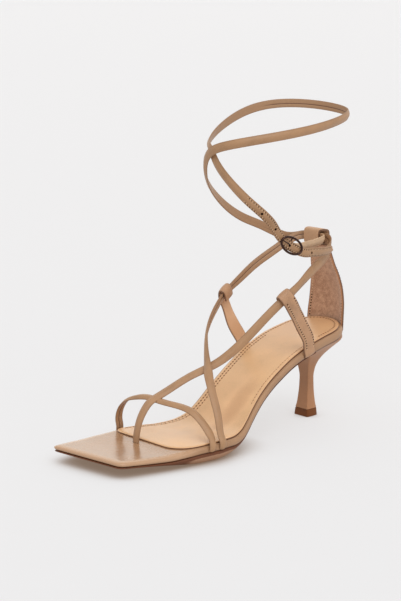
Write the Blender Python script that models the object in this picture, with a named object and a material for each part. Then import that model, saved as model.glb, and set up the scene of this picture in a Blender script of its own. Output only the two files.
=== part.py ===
"""Strap sandal for the left foot, on a flared heel.

Tables and sizes are in millimetres and the model is in metres. +X points to the toe, +Y to the
outer side of the foot and +Z up. The origin is on the floor, under the middle of the heel.
"""

import math
from collections import namedtuple

import bmesh
import bpy
import numpy as np
from mathutils import Vector

MM = 0.001
GAP = 0.3
SHARP_EDGE = 40.0

# Last and sole
HEEL_CENTRE = 1.0
HEEL_ROUND = 26.0
HEEL_STEP = 13
TOE_END = 202.4
TOE_SKEW = 0.138
TOE_SKEW_FROM = 150.0
TOE_ROUND_INNER = 3.0
TOE_ROUND_OUTER = 4.0
CORNER_STEP = 22
SOLE_FRONT_OF_HEEL = 19.8
SOLE_INSET = 1.0
SOCK_INSET = 2.6
SOCK_THICK = 1.0
SOCK_END = 154.5
SOCK_ROUND_INNER = 8.0
SOCK_ROUND_OUTER = 17.0
STATION_STEP = 5.0
NARROW_HALF = 8.0

# Each row is a section across the last: distance from the heel, inner and outer half width,
# underside of the sole above the floor, thickness of the sole at its inner and outer edge,
# thickness of the footbed
Section = namedtuple("Section", "inner outer underside sole_inner sole_outer board")
LAST_ROWS = (
    (-25.0, 26.0, 26.0, 60.9, 1.6, 1.6, 6.2),
    (0.0, 25.9, 26.6, 56.8, 1.6, 1.6, 6.2),
    (20.0, 25.6, 28.2, 53.3, 1.6, 1.6, 6.0),
    (40.0, 24.6, 28.8, 47.6, 1.6, 1.6, 5.2),
    (60.0, 22.6, 29.6, 37.7, 1.6, 1.6, 5.0),
    (75.0, 21.2, 31.6, 28.4, 1.7, 1.7, 5.0),
    (87.0, 21.1, 34.4, 18.8, 1.9, 1.9, 5.0),
    (95.0, 22.0, 36.8, 11.8, 2.2, 2.2, 5.1),
    (101.0, 23.0, 38.6, 7.3, 2.8, 2.9, 5.1),
    (110.0, 25.6, 40.6, 2.8, 4.0, 5.2, 5.0),
    (118.0, 28.8, 41.4, 0.8, 4.7, 7.3, 4.8),
    (126.0, 32.4, 41.2, 0.0, 4.9, 7.8, 4.7),
    (138.0, 36.4, 39.8, 0.0, 5.2, 7.6, 4.6),
    (150.0, 38.0, 37.4, 1.0, 4.8, 5.6, 4.4),
    (165.0, 38.4, 34.4, 3.0, 3.1, 3.0, 4.0),
    (185.0, 36.8, 29.8, 4.9, 2.0, 2.0, 3.5),
    (208.0, 33.8, 24.8, 6.6, 1.8, 1.8, 3.2),
)

# Edge shapes: how far in from the widest line, and share of the thickness
RAND_ROWS = ((1.8, 0.0), (0.35, 0.2), (0.0, 0.5), (0.6, 0.8), (2.2, 1.0))
SOLE_EDGE_ROWS = ((7.0, 0.0), (2.6, 0.25), (0.4, 0.6), (0.0, 1.0))
SOCK_EDGE_ROWS = ((0.0, 0.0), (0.3, 1.0))
ACROSS = (0.25, 0.5, 0.75)

# Each row is a level of the heel: height, front and back along the shoe, half width,
# and how far the level has turned into the outline of the heel seat
LIFT_TOP = 5.4
LIFT_ROWS = ((0.0, 6.0, -6.0, 6.8, 0.0), (LIFT_TOP, 5.65, -5.65, 6.25, 0.0))
HEEL_ROWS = (
    (LIFT_TOP + GAP, 5.6, -5.6, 6.2, 0.0),
    (9.0, 4.9, -5.0, 5.5, 0.0),
    (15.0, 4.2, -4.3, 4.9, 0.0),
    (22.0, 3.6, -3.8, 4.5, 0.0),
    (29.0, 3.4, -3.6, 4.4, 0.0),
    (35.0, 4.0, -4.4, 5.1, 0.0),
    (40.0, 5.2, -6.2, 6.6, 0.0),
    (44.5, 7.2, -9.2, 9.0, 0.04),
    (48.5, 9.8, -13.0, 12.4, 0.12),
    (52.0, 13.0, -17.5, 16.6, 0.3),
    (54.0, 16.0, -21.5, 20.5, 0.6),
    (56.0, 19.0, -24.5, 24.0, 1.0),
)
# Half of the outline of every level: share of its depth and of its half width
HEEL_RING = (
    (1.0, 0.0), (1.0, 0.5), (1.0, 0.92), (0.86, 1.0), (0.55, 1.0),
    (0.25, 0.97), (0.08, 0.86), (0.0, 0.5), (0.0, 0.0),
)
SEAT_FRONT = 19.0
SEAT_SIDE = 13.0
SEAT_CORNER = 1.0
SEAT_INSET = 0.6
SEAT_ARC = (110.0, 133.0, 156.0, 180.0)
SEAT_CAP = (0.62, 0.28)

# Counter: height, back of the wall along the shoe, radius round the heel, half width,
# and how far its middle leans across
COUNTER_THICK = 1.8
COUNTER_STEPS = 8
CounterLevel = namedtuple("CounterLevel", "back radius half lean")
COUNTER_ROWS = (
    (60.0, -24.6, 25.6, 19.5, 0.0),
    (72.0, -25.0, 25.8, 19.2, 0.0),
    (82.0, -25.4, 26.0, 18.4, 0.0),
    (92.0, -24.6, 26.4, 17.0, -0.2),
    (102.0, -22.2, 28.0, 14.6, -0.8),
    (112.0, -18.2, 36.0, 11.8, -1.6),
    (120.0, -15.6, 90.0, 10.0, -2.2),
    (126.0, -14.2, 400.0, 9.2, -2.5),
    (140.0, -14.0, 400.0, 9.0, -2.5),
)
COUNTER_LEVELS = (63.2, 68.0, 73.0, 79.0, 85.0, 91.0, 97.0, 103.0, 109.0, 115.0, 120.0, 125.0)
# The fold at the counter's top that makes the tunnel: how far in from the wall, and height
TUNNEL_ROWS = (
    (0.0, 130.0), (0.0, 134.6), (0.5, 135.8), (1.6, 136.2), (4.9, 136.2), (6.0, 135.8),
    (6.5, 134.6), (6.5, 128.2), (6.0, 126.9), (4.8, 126.3), (1.25, 126.2),
)
# Share of the half width by which the tunnel's front wall is shorter at the outer mouth
MOUTH_CUT = 0.4
# The seat of the counter in the footbed: reach from the heel's centre, and height
COUNTER_SEAT = ((24.4, 54.0), (30.0, 54.0), (30.0, 80.0), (24.4, 80.0))

# Straps
STRAP_WIDTH = 5.6
STRAP_THICK = 1.8
STRAP_CORNER = 0.7
STRAP_STEP = 6.0
STRAP_TURN = 16.0
FINE_STEP = 0.25
STAY_WIDTH = 10.6
TUCK_DEPTH = 4.5
TUCK_ROUND = 2.2
TUCK_RISE = 4.6
TUCK_ARC = (0.0, 30.0, 60.0, 90.0)
SLOT_REACH = 14.0
# A line inside the foot and the leg: the straps turn their outer face away from it
FOOT_LINE = (
    (140.0, -3.0, 17.0), (115.0, 0.0, 30.0), (80.0, 0.0, 55.0),
    (45.0, 0.0, 95.0), (33.0, 0.0, 135.0), (33.0, 0.0, 240.0),
)
TUNNEL_HEIGHT = 131.2
TUNNEL_BACK_LAYER = -11.9
TUNNEL_FRONT_LAYER = -9.75

# Each row is a place on a strap's middle line: along, across and up, and for some
# the way its outer face looks there
TOE_STRAP_ENDS = (146.2, 132.2)
TOE_STRAP_ROWS = (
    (146.1, -39.4, 15.8, 0.0, -1.0, 0.1), (145.8, -38.4, 23.5, 0.05, -0.92, 0.38),
    (144.9, -33.0, 30.8, 0.15, -0.58, 0.8), (143.1, -23.0, 35.3, 0.39, -0.17, 0.9),
    (140.7, -12.7, 36.5, 0.3, 0.05, 0.95), (139.1, -5.2, 35.6, 0.26, 0.14, 0.96),
    (136.3, 8.3, 34.7, 0.27, 0.18, 0.94), (133.2, 22.7, 31.9, 0.2, 0.42, 0.88),
    (131.1, 32.0, 24.4, 0.1, 0.7, 0.7), (131.5, 39.8, 16.4),
)
THONG_SLOT = (160.2, -5.0)
THONG_ROWS = (
    (159.9, -5.0, 11.0, 0.98, 0.0, 0.2), (158.4, -5.4, 18.5, 0.95, 0.0, 0.3),
    (155.2, -6.3, 25.0, 0.84, 0.07, 0.54), (150.4, -7.0, 31.0, 0.68, 0.16, 0.71),
    (144.6, -7.5, 35.4, 0.46, 0.26, 0.85), (138.8, -7.6, 37.4, 0.36, 0.35, 0.87),
    (129.9, -6.1, 41.0, 0.5, 0.33, 0.8), (114.6, 0.8, 49.8, 0.55, 0.31, 0.77),
    (100.1, 8.1, 56.4), (81.2, 17.8, 71.8), (62.8, 26.0, 90.7), (53.0, 29.1, 98.8),
    (39.5, 28.6, 105.8), (25.0, 25.2, 112.4, 0.0, 1.0, 0.3), (9.0, 19.8, 117.4, -0.1, 0.85, 0.5),
    (-1.7, 15.0, 120.8, -0.15, 0.8, 0.55), (-7.4, 13.0, 124.4, -0.5, 0.8, 0.3),
    (-10.8, 10.8, 128.4, -0.95, 0.3, 0.0), (-11.9, 8.0, 130.9, -1.0, 0.0, 0.0),
)
THONG_IN_TUNNEL = (4.6, 1.0, -2.5)
INSTEP_STRAP_END = 123.6
INSTEP_STRAP_ROWS = (
    (123.6, 40.7, 16.6), (121.8, 35.8, 26.9), (118.5, 27.5, 39.4), (112.7, 16.4, 50.3),
    (105.2, 5.9, 57.5, 0.81, -0.18, 0.59), (96.6, -4.7, 65.8, 0.81, -0.49, 0.32),
    (84.8, -14.9, 77.3, 0.57, -0.82, 0.04), (68.2, -23.3, 88.4, 0.41, -0.91, 0.0),
    (55.9, -28.2, 94.7), (40.0, -30.6, 102.2), (24.5, -29.8, 111.5), (10.8, -24.9, 120.3),
    (2.0, -20.6, 126.4), (-5.2, -16.6, 130.2), (-9.2, -13.0, 131.2),
)
INSTEP_IN_TUNNEL = (-9.6, -6.0, -2.5)
ANKLE_IN_TUNNEL = (-2.8, -7.0, -11.4)
BUCKLE_STRAP_IN_TUNNEL = (-2.4, 1.6)
BUCKLE_STRAP_ROWS = (
    (-9.3, 5.2, 131.0), (-7.0, 8.0, 130.7), (-2.5, 10.6, 130.6), (5.0, 14.2, 130.8), (16.0, 19.0, 131.2),
    (30.0, 24.0, 131.8),
)

# Stays: where each starts on the sole, its way up, and the place of its strap it goes round
LATERAL_STAY_START = 27.8
LATERAL_STAY_ROWS = (
    (31.4, 30.8, 66.2, 0.05, 1.0, 0.0), (36.2, 31.0, 74.2, 0.1, 1.0, 0.05),
    (42.2, 30.8, 84.0, 0.15, 1.0, 0.1),
)
LATERAL_STAY_LOOP = (53.0, 29.1, 98.8)
MEDIAL_STAY_START = 38.5
MEDIAL_STAY_ROWS = (
    (42.4, -26.8, 61.0, 0.05, -1.0, 0.0), (46.4, -27.4, 67.2, 0.1, -1.0, 0.05),
    (50.2, -28.2, 74.4, 0.15, -1.0, 0.1),
)
MEDIAL_STAY_LOOP = (55.9, -28.2, 94.7)
STAY_LEG_IN = (9.0, 1.3)
STAY_BEND_FROM = 4.6
STAY_ARC = (0.0, 45.0, 90.0, 135.0, 180.0)
# The inner leg's end: how far below the strap's middle, and its stand-off there
STAY_END = (3.4, 0.5)

# Ankle wrap: an oval round the leg, and rows of turn in degrees from the front,
# height, and how far the strap stands off the oval
ANKLE_CENTRE = (33.0, 0.0)
ANKLE_LONG = 60.0
ANKLE_WIDE = 36.0
ANKLE_ROWS = (
    (240.0, 132.6, -5.0), (254.0, 139.0, -2.8), (268.0, 145.0, -1.2), (300.0, 165.2, 0.1),
    (328.0, 182.8, -0.2), (345.0, 195.0, 0.8), (360.0, 201.4, 1.3), (380.0, 205.6, 0.8),
    (410.0, 209.7, 0.3), (450.0, 214.5, 0.3), (485.0, 218.5, 0.0), (520.0, 221.4, 0.0),
    (560.0, 224.3, 0.0), (600.0, 225.7, 0.0), (623.0, 222.4, 0.0), (655.0, 211.8, -0.6),
    (672.0, 206.6, -1.4), (690.0, 203.0, -2.3), (708.0, 199.6, -2.3), (718.0, 193.6, -1.9),
    (737.0, 181.4, -0.8), (757.0, 167.0, 0.0), (773.0, 154.2, -0.4),
)
ANKLE_LEAVES_TUNNEL = ((-10.4, -15.2, 130.7), (-6.4, -19.2, 129.8), (-1.0, -23.0, 129.9))
TAIL_ROWS = ((26.0, 29.6, 127.8), (12.0, 26.0, 126.1), (-3.0, 20.0, 124.9))

# Buckle: its middle, the way the strap runs through it, and the way it faces
BUCKLE_MIDDLE = (50.0, 31.4, 135.5)
BUCKLE_ALONG = (-0.85, 0.2, -0.49)
BUCKLE_FACE = (0.25, 1.0, 0.0)
BUCKLE_LONG = 8.6
BUCKLE_HIGH = 5.2
BUCKLE_WIRE = 0.8
BUCKLE_STEPS = 24
WIRE_SIDES = 8
BAR_WIRE = 0.55
BAR_DEPTH = -3.45
PRONG_WIRE = 0.5
# The strap's run through the frame: along it, across it and outward from the frame's middle plane
RUN_ROWS = (
    (-10.6, -1.9, -2.1), (-5.4, -0.2, -2.0), (0.0, 0.6, -1.6), (5.4, 0.6, -2.0), (10.6, 0.2, -2.1),
)
# The prong from the bar, through the strap and over the frame: along and outward
PRONG_ROWS = ((-0.3, -2.0), (-1.4, -0.6), (-3.8, 0.9), (-6.6, 1.5), (-9.0, 1.65), (-10.3, 1.2))
HOOK_ALONG = (3.0, -2.0)
# Half of the bar under the strap: across the strap, and share of its depth
BAR_ROWS = ((5.2, -0.03), (5.1, 0.5), (4.6, 0.94), (3.0, 1.0))


def read_table(rows, at):
    """The columns of a table at a place between its rows, with no overshoot."""
    rows = np.array(rows, float)
    first, rest = rows[:, 0], rows[:, 1:]
    step = np.diff(first)[:, None]
    rise = np.diff(rest, axis=0) / step
    slope = np.vstack((rise[:1], np.zeros_like(rise[1:]), rise[-1:]))
    product = rise[:-1] * rise[1:]
    total = np.where(product > 0, rise[:-1] + rise[1:], 1.0)
    slope[1:-1] = np.where(product > 0, 2 * product / total, 0.0)
    i = int(np.clip(np.searchsorted(first, at) - 1, 0, len(step) - 1))
    span = step[i, 0]
    t = (at - first[i]) / span
    near = (1 + 2 * t) * (1 - t) ** 2 * rest[i] + t * (1 - t) ** 2 * span * slope[i]
    far = t * t * (3 - 2 * t) * rest[i + 1] + t * t * (t - 1) * span * slope[i + 1]
    return near + far


def unit(vector):
    """A vector of length one."""
    return np.array(vector, float) / np.linalg.norm(vector)


def ramp(share):
    """A soft step from 0 to 1."""
    share = min(max(share, 0.0), 1.0)
    return share * share * (3 - 2 * share)


def plain(name, colour, roughness, metallic=0.0):
    """Plain material with one colour."""
    material = bpy.data.materials.new(name)
    material.use_nodes = True
    shader = material.node_tree.nodes["Principled BSDF"]
    shader.inputs["Base Color"].default_value = (*colour, 1.0)
    shader.inputs["Roughness"].default_value = roughness
    shader.inputs["Metallic"].default_value = metallic
    return material


def loft(name, rings, material, closed=False, wall=False):
    """Solid through rings with the same number of points, capped unless it closes on itself.

    The ends of a folded wall are capped from its one side to the other, not over its hollow.
    """
    work = bmesh.new()
    rows = [[work.verts.new(Vector(point) * MM) for point in ring] for ring in rings]
    following = rows[1:] + rows[:1] if closed else rows[1:]
    for ring, other in zip(rows, following):
        for i, corner in enumerate(ring):
            j = (i + 1) % len(ring)
            work.faces.new((corner, ring[j], other[j], other[i]))
    for ring in () if closed else (rows[0], rows[-1]):
        if not wall:
            work.faces.new(ring)
            continue
        for i in range(len(ring) // 2 - 1):
            work.faces.new((ring[i], ring[i + 1], ring[-2 - i], ring[-1 - i]))
    bmesh.ops.triangulate(work, faces=work.faces)
    bmesh.ops.recalc_face_normals(work, faces=work.faces)
    mesh = bpy.data.meshes.new(name)
    work.to_mesh(mesh)
    work.free()
    mesh.materials.append(material)
    mesh.shade_smooth()
    mesh.set_sharp_from_angle(angle=math.radians(SHARP_EDGE))
    piece = bpy.data.objects.new(name, mesh)
    bpy.context.scene.collection.objects.link(piece)
    return piece


def combine(piece, other, operation):
    """Join another shape to a piece, or cut it out, and keep that shape as a guide only."""
    other.hide_render = True
    other.display_type = "WIRE"
    boolean = piece.modifiers.new(f"{operation.lower()} {other.name}", "BOOLEAN")
    boolean.operation = operation
    boolean.object = other


def last_at(station):
    """The named columns of the last's table at a distance from the heel."""
    return Section(*read_table(LAST_ROWS, station))


def board_bottom(station, across=0.0):
    """Height of the footbed's underside."""
    row = last_at(station)
    share = min(max((across + row.inner) / (row.inner + row.outer), 0.0), 1.0)
    return row.underside + row.sole_inner + share * (row.sole_outer - row.sole_inner) + GAP


def board_top(station, across=0.0):
    """Height of the footbed's upper side."""
    return board_bottom(station, across) + last_at(station).board


def corner_cut(left, radius):
    """How far a rounded corner draws an edge in, this far from the end."""
    if left >= radius:
        return 0.0
    return radius - math.sqrt(max(radius ** 2 - (radius - left) ** 2, 0.0))


def plan_edges(station, inset=0.0, end=TOE_END, rounds=(0.0, 0.0)):
    """Inner and outer edge of a layer of the sole, set in from the rand."""
    row = last_at(station)
    share = 1.0
    if station < HEEL_CENTRE:
        share = math.sqrt(max(1 - ((HEEL_CENTRE - station) / (HEEL_ROUND - inset)) ** 2, 0.0))
    inner = -(row.inner - inset) * share + corner_cut(end - station, rounds[0])
    outer = (row.outer - inset) * share - corner_cut(end - station, rounds[1])
    return inner, outer


def stations(inset, end, rounds, start):
    """Places of the sections: close together round the heel and at the front corners."""
    places = []
    if start is None:
        for angle in range(HEEL_STEP - 1, 91, HEEL_STEP):
            places.append(HEEL_CENTRE - (HEEL_ROUND - inset) * math.cos(math.radians(angle)))
        start = HEEL_CENTRE + STATION_STEP
    front = end - max(rounds)
    places += list(np.linspace(start, front, round((front - start) / STATION_STEP) + 1))
    for angle in range(CORNER_STEP, 90, CORNER_STEP):
        places.append(end - max(rounds) * (1 - math.sin(math.radians(angle))))
    return places


def layer(name, material, inset, end, rounds, edge_rows, low, high, start=None):
    """Slab of the sole between two height functions, with the given shape at its edge."""
    rings = []
    for station in stations(inset, end, rounds, start):
        inner, outer = plan_edges(station, inset, end, rounds)
        shrink = min(1.0, (outer - inner) / 2 / NARROW_HALF)
        side = [(cut * shrink, level) for cut, level in edge_rows]
        across = [(outer - cut, level) for cut, level in side]
        across += [(outer + (inner - outer) * share, 1.0) for share in ACROSS]
        across += [(inner + cut, level) for cut, level in reversed(side)]
        across += [(inner + (outer - inner) * share, 0.0) for share in ACROSS]
        skew = TOE_SKEW * ramp((station - TOE_SKEW_FROM) / (TOE_END - TOE_SKEW_FROM))
        ring = []
        for y, level in across:
            x = station - skew * y
            bottom = low(x, y)
            ring.append((x, y, bottom + (high(x, y) - bottom) * level))
        rings.append(ring)
    return loft(name, rings, material)


def heel_ring(height, front, back, half, seat):
    """Outline of the heel at one level, between its own section and that of the seat."""
    width = -plan_edges(HEEL_CENTRE, SEAT_INSET)[0]
    outline = [(SEAT_FRONT, 0.0), (SEAT_FRONT, width / 2), (SEAT_FRONT, width - SEAT_CORNER)]
    outline += [(SEAT_SIDE, width), (HEEL_CENTRE, width)]
    for angle in SEAT_ARC:
        turn = math.radians(angle)
        reach = HEEL_ROUND - SEAT_INSET
        outline.append((HEEL_CENTRE + reach * math.cos(turn), reach * math.sin(turn)))
    half_ring = []
    for (depth, wide), (x, y) in zip(HEEL_RING, outline):
        x = (1 - seat) * (back + (front - back) * depth) + seat * x
        y = (1 - seat) * half * wide + seat * y
        z = (1 - seat) * height + seat * (board_bottom(x) - GAP)
        half_ring.append((x, y, z))
    return half_ring + [(x, -y, z) for x, y, z in half_ring[-2:0:-1]]


def counter_point(along, height, inward):
    """Point of the counter: share of its half width, height, and distance in from its middle."""
    row = CounterLevel(*read_table(COUNTER_ROWS, height))
    angle = along * row.half / row.radius
    reach = row.radius - inward
    x = row.back + row.radius - reach * math.cos(angle)
    return (x, row.lean + reach * math.sin(angle), height)


def thicken(path, thick):
    """Closed outline of a wall along a path of (inward, height)."""
    path = np.array(path, float)
    run = np.gradient(path, axis=0)
    run /= np.linalg.norm(run, axis=1)[:, None]
    side = np.column_stack((-run[:, 1], run[:, 0])) * thick / 2
    return np.vstack((path + side, (path - side)[::-1]))


def smooth_route(rows):
    """Close-set rows on a smooth curve through the given rows."""
    rows = np.array(rows, float)
    gap = np.linalg.norm(np.diff(rows[:, :3], axis=0), axis=1)
    knot = np.concatenate(([0.0], np.cumsum(gap)))
    rise = np.diff(rows, axis=0) / gap[:, None]
    system = np.eye(len(knot))
    bend = np.zeros_like(rows)
    for i in range(1, len(knot) - 1):
        system[i, i - 1:i + 2] = gap[i - 1], 2 * (gap[i - 1] + gap[i]), gap[i]
        bend[i] = 6 * (rise[i] - rise[i - 1])
    bend = np.linalg.solve(system, bend)
    fine = []
    for at in np.linspace(0.0, knot[-1], math.ceil(knot[-1] / FINE_STEP) + 1):
        i = min(max(int(np.searchsorted(knot, at)) - 1, 0), len(gap) - 1)
        a, b, h = knot[i + 1] - at, at - knot[i], gap[i]
        row = (bend[i] * a ** 3 + bend[i + 1] * b ** 3) / (6 * h)
        row += (rows[i] / h - bend[i] * h / 6) * a + (rows[i + 1] / h - bend[i + 1] * h / 6) * b
        fine.append(row)
    return np.array(fine)


def frames(rows, reach=None):
    """Place, run, outer face and side of a strap: close together only where it bends or turns."""
    fine = smooth_route(rows)
    place = fine[:, :3]
    run = np.gradient(place, axis=0)
    run /= np.linalg.norm(run, axis=1)[:, None]
    face = fine[:, 3:] - (fine[:, 3:] * run).sum(axis=1)[:, None] * run
    face /= np.linalg.norm(face, axis=1)[:, None]
    last = len(place) - 1 if reach is None else round(reach / FINE_STEP)
    limit = math.cos(math.radians(STRAP_TURN))
    keep = [0]
    for i in range(1, last):
        start = keep[-1]
        turned = min(run[i] @ run[start], face[i] @ face[start])
        if turned < limit or (i - start) * FINE_STEP >= STRAP_STEP:
            keep.append(i)
    keep.append(last)
    return place[keep], run[keep], face[keep], np.cross(run, face)[keep]


def strap_rings(rows, width=STRAP_WIDTH, grow=0.0, reach=None):
    """Rings of a flat strap with rounded edges along a route, or its first part only."""
    place, run, face, side = frames(rows, reach)
    place[0] -= grow * run[0]
    half, flat = width / 2 + grow, STRAP_THICK / 2 + grow
    inner, low = half - STRAP_CORNER, flat - STRAP_CORNER
    outline = ((half, low), (inner, flat), (-inner, flat), (-half, low))
    outline += tuple((-a, -b) for a, b in outline)
    return [[p + s * a + f * b for a, b in outline] for p, f, s in zip(place, face, side)]


def away_from_foot(point):
    """Direction from the nearest place on the foot's own line to a point."""
    point = np.array(point, float)
    nearest = np.array(FOOT_LINE[0])
    for start, end in zip(FOOT_LINE, FOOT_LINE[1:]):
        start, end = np.array(start), np.array(end)
        run = end - start
        place = start + np.clip((point - start) @ run / (run @ run), 0.0, 1.0) * run
        if np.linalg.norm(point - place) < np.linalg.norm(point - nearest):
            nearest = place
    return unit(point - nearest)


def facing(points, face=None):
    """Route rows with the way the outer face looks: given for a place or for all, or away from the foot."""
    rows = []
    for point in points:
        way = point[3:] if len(point) > 3 else face
        rows.append((*point[:3], *(away_from_foot(point[:3]) if way is None else unit(way))))
    return rows


def in_tunnel(layer_place, across):
    """Places of a strap inside the counter's tunnel."""
    return tuple((layer_place, y, TUNNEL_HEIGHT) for y in across)


def tuck(station, side):
    """Route rows of a strap's end, from under the footbed round its edge and up."""
    inner, outer = plan_edges(station)
    reach = (outer if side > 0 else -inner) + STRAP_THICK / 2 + GAP
    slope = (board_bottom(station + 1, side * reach) - board_bottom(station - 1, side * reach)) / 2
    up = unit((-slope, 0.0, 1.0))
    out = np.array((0.0, side, 0.0))
    foot = np.array((station, 0.0, board_bottom(station, side * reach))) + up * STRAP_THICK / 2
    rows = [(*(foot + out * (reach - TUCK_DEPTH - TUCK_ROUND)), *-up)]
    for angle in TUCK_ARC:
        wide, deep = math.sin(math.radians(angle)), math.cos(math.radians(angle))
        place = foot + out * (reach - TUCK_ROUND * (1 - wide)) + up * TUCK_ROUND * (1 - deep)
        rows.append((*place, *(out * wide - up * deep)))
    rows.append((*(foot + out * reach + up * TUCK_RISE), *out))
    return rows


def stay_route(start, side, way_up, strap_rows, loop_place):
    """Route of a stay: tucked under the sole, up its side, round the strap and down inside."""
    place, run, face, across = frames(strap_rows)
    at = int(np.argmin(np.linalg.norm(place - np.array(loop_place), axis=1)))
    middle, out, up = place[at], face[at], across[at] * math.copysign(1.0, across[at][2])
    apart = STRAP_THICK + 2 * GAP
    bend = STRAP_WIDTH / 2 - STRAP_CORNER
    fold = [(-STAY_LEG_IN[0], STAY_LEG_IN[1], 0.0), (-STAY_BEND_FROM, apart, 0.0)]
    fold += [(bend, apart, angle) for angle in STAY_ARC]
    fold.append((-STAY_END[0], apart + STAY_END[1], STAY_ARC[-1]))
    rows = tuck(start, side) + facing(way_up)
    for high, reach, angle in fold:
        rise, wide = math.sin(math.radians(angle)), math.cos(math.radians(angle))
        point = middle + up * (high + reach * rise) + out * reach * wide
        rows.append((*point, *(up * rise + out * wide)))
    return rows


def ankle_point(turn, height, stand_off):
    """Point of the ankle wrap."""
    angle = math.radians(turn)
    x = ANKLE_CENTRE[0] + (ANKLE_LONG + stand_off) * math.cos(angle)
    y = ANKLE_CENTRE[1] + (ANKLE_WIDE + stand_off) * math.sin(angle)
    return (x, y, height)


def buckle_axes():
    """The buckle's own directions: along the strap, across it and outward."""
    way = unit(BUCKLE_ALONG)
    out = unit(np.array(BUCKLE_FACE) - (np.array(BUCKLE_FACE) @ way) * way)
    return way, np.cross(way, out), out


def buckle_point(along, high, outward):
    """Point in the buckle's own directions."""
    way, across, out = buckle_axes()
    return np.array(BUCKLE_MIDDLE) + along * way + high * across + outward * out


def rod_rings(points, radius, axis, closed=False):
    """Rings of a round rod along points that lie in a plane across the axis."""
    points = np.array(points, float)
    run = np.gradient(points, axis=0)
    if closed:
        run = np.roll(points, -1, axis=0) - np.roll(points, 1, axis=0)
    rings = []
    for point, way in zip(points, run):
        side = np.cross(unit(way), axis)
        turns = [2 * math.pi * k / WIRE_SIDES for k in range(WIRE_SIDES)]
        rings.append([point + radius * (math.cos(t) * side + math.sin(t) * axis) for t in turns])
    return rings


for leftover in list(bpy.data.objects):
    bpy.data.objects.remove(leftover)

strap_leather = plain("strap leather", (0.47, 0.28, 0.16), 0.5)
counter_leather = plain("counter leather", (0.42, 0.25, 0.15), 0.65)
rand_leather = plain("rand leather", (0.5, 0.32, 0.2), 0.35)
sock_leather = plain("sock leather", (0.68, 0.46, 0.3), 0.3)
sole_leather = plain("sole leather", (0.16, 0.07, 0.03), 0.55)
heel_leather = plain("heel leather", (0.42, 0.26, 0.15), 0.45)
lift_rubber = plain("lift rubber", (0.16, 0.07, 0.025), 0.4)
bronze = plain("dark bronze", (0.09, 0.05, 0.04), 0.35, 1.0)

# Sole layers
toe_rounds = (TOE_ROUND_INNER, TOE_ROUND_OUTER)
sock_rounds = (SOCK_ROUND_INNER, SOCK_ROUND_OUTER)
layer(
    "outsole", sole_leather, SOLE_INSET, TOE_END, toe_rounds, SOLE_EDGE_ROWS,
    lambda x, y: last_at(x).underside, lambda x, y: board_bottom(x, y) - GAP, SOLE_FRONT_OF_HEEL,
)
footbed = layer(
    "footbed", rand_leather, 0.0, TOE_END, toe_rounds, RAND_ROWS, board_bottom, board_top,
)
layer(
    "insole", sock_leather, SOCK_INSET, SOCK_END, sock_rounds, SOCK_EDGE_ROWS,
    lambda x, y: board_top(x, y) + GAP, lambda x, y: board_top(x, y) + GAP + SOCK_THICK,
)

# Heel and its top lift
loft("top_lift", [heel_ring(*row) for row in LIFT_ROWS], lift_rubber)
heel_rings = [heel_ring(*row) for row in HEEL_ROWS]
seat_ring = heel_rings[-1]
for share in SEAT_CAP:
    heel_rings.append([(x * share, y * share, board_bottom(x * share) - GAP) for x, y, z in seat_ring])
loft("heel", heel_rings, heel_leather)

# Counter with its tunnel, let into the back of the footbed
counter_path = [(0.0, height) for height in COUNTER_LEVELS] + list(TUNNEL_ROWS)
counter_outline = thicken(counter_path, COUNTER_THICK)
folded = np.maximum.accumulate([inward for inward, height in counter_path])
cuts = MOUTH_CUT * np.concatenate((folded, folded[::-1])) / folded[-1]
counter_rings = []
seat_rings = []
foot_of_counter = CounterLevel(*COUNTER_ROWS[0][1:])
seat_angle = (foot_of_counter.half + GAP) / foot_of_counter.radius
for step in range(COUNTER_STEPS + 1):
    along = 2 * step / COUNTER_STEPS - 1
    shares = np.where(along > 0, along * (1 - cuts), along)
    corners = zip(shares, counter_outline)
    counter_rings.append([counter_point(share, height, inward) for share, (inward, height) in corners])
    aim = (-math.cos(along * seat_angle), math.sin(along * seat_angle))
    seat_rings.append([(HEEL_CENTRE + far * aim[0], far * aim[1], high) for far, high in COUNTER_SEAT])
loft("counter", counter_rings, counter_leather, wall=True)
combine(footbed, loft("counter_seat", seat_rings, rand_leather), "DIFFERENCE")

# Toe strap, thong strap and instep strap, joined where they cross
toe_route = tuck(TOE_STRAP_ENDS[0], -1) + facing(TOE_STRAP_ROWS) + tuck(TOE_STRAP_ENDS[1], 1)[::-1]
thong_route = facing(
    ((*THONG_SLOT, board_bottom(*THONG_SLOT)),) + THONG_ROWS
    + in_tunnel(TUNNEL_BACK_LAYER, THONG_IN_TUNNEL)
)
instep_route = tuck(INSTEP_STRAP_END, 1) + facing(
    INSTEP_STRAP_ROWS + in_tunnel(TUNNEL_FRONT_LAYER, INSTEP_IN_TUNNEL)
)
upper = loft("upper_straps", strap_rings(thong_route), strap_leather)
combine(upper, loft("toe_strap", strap_rings(toe_route), strap_leather), "UNION")
combine(upper, loft("instep_strap", strap_rings(instep_route), strap_leather), "UNION")

# Stays on both sides
lateral_route = stay_route(LATERAL_STAY_START, 1, LATERAL_STAY_ROWS, thong_route, LATERAL_STAY_LOOP)
medial_route = stay_route(MEDIAL_STAY_START, -1, MEDIAL_STAY_ROWS, instep_route, MEDIAL_STAY_LOOP)
loft("stay_lateral", strap_rings(lateral_route, STAY_WIDTH), strap_leather)
loft("stay_medial", strap_rings(medial_route, STAY_WIDTH), strap_leather)

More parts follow.
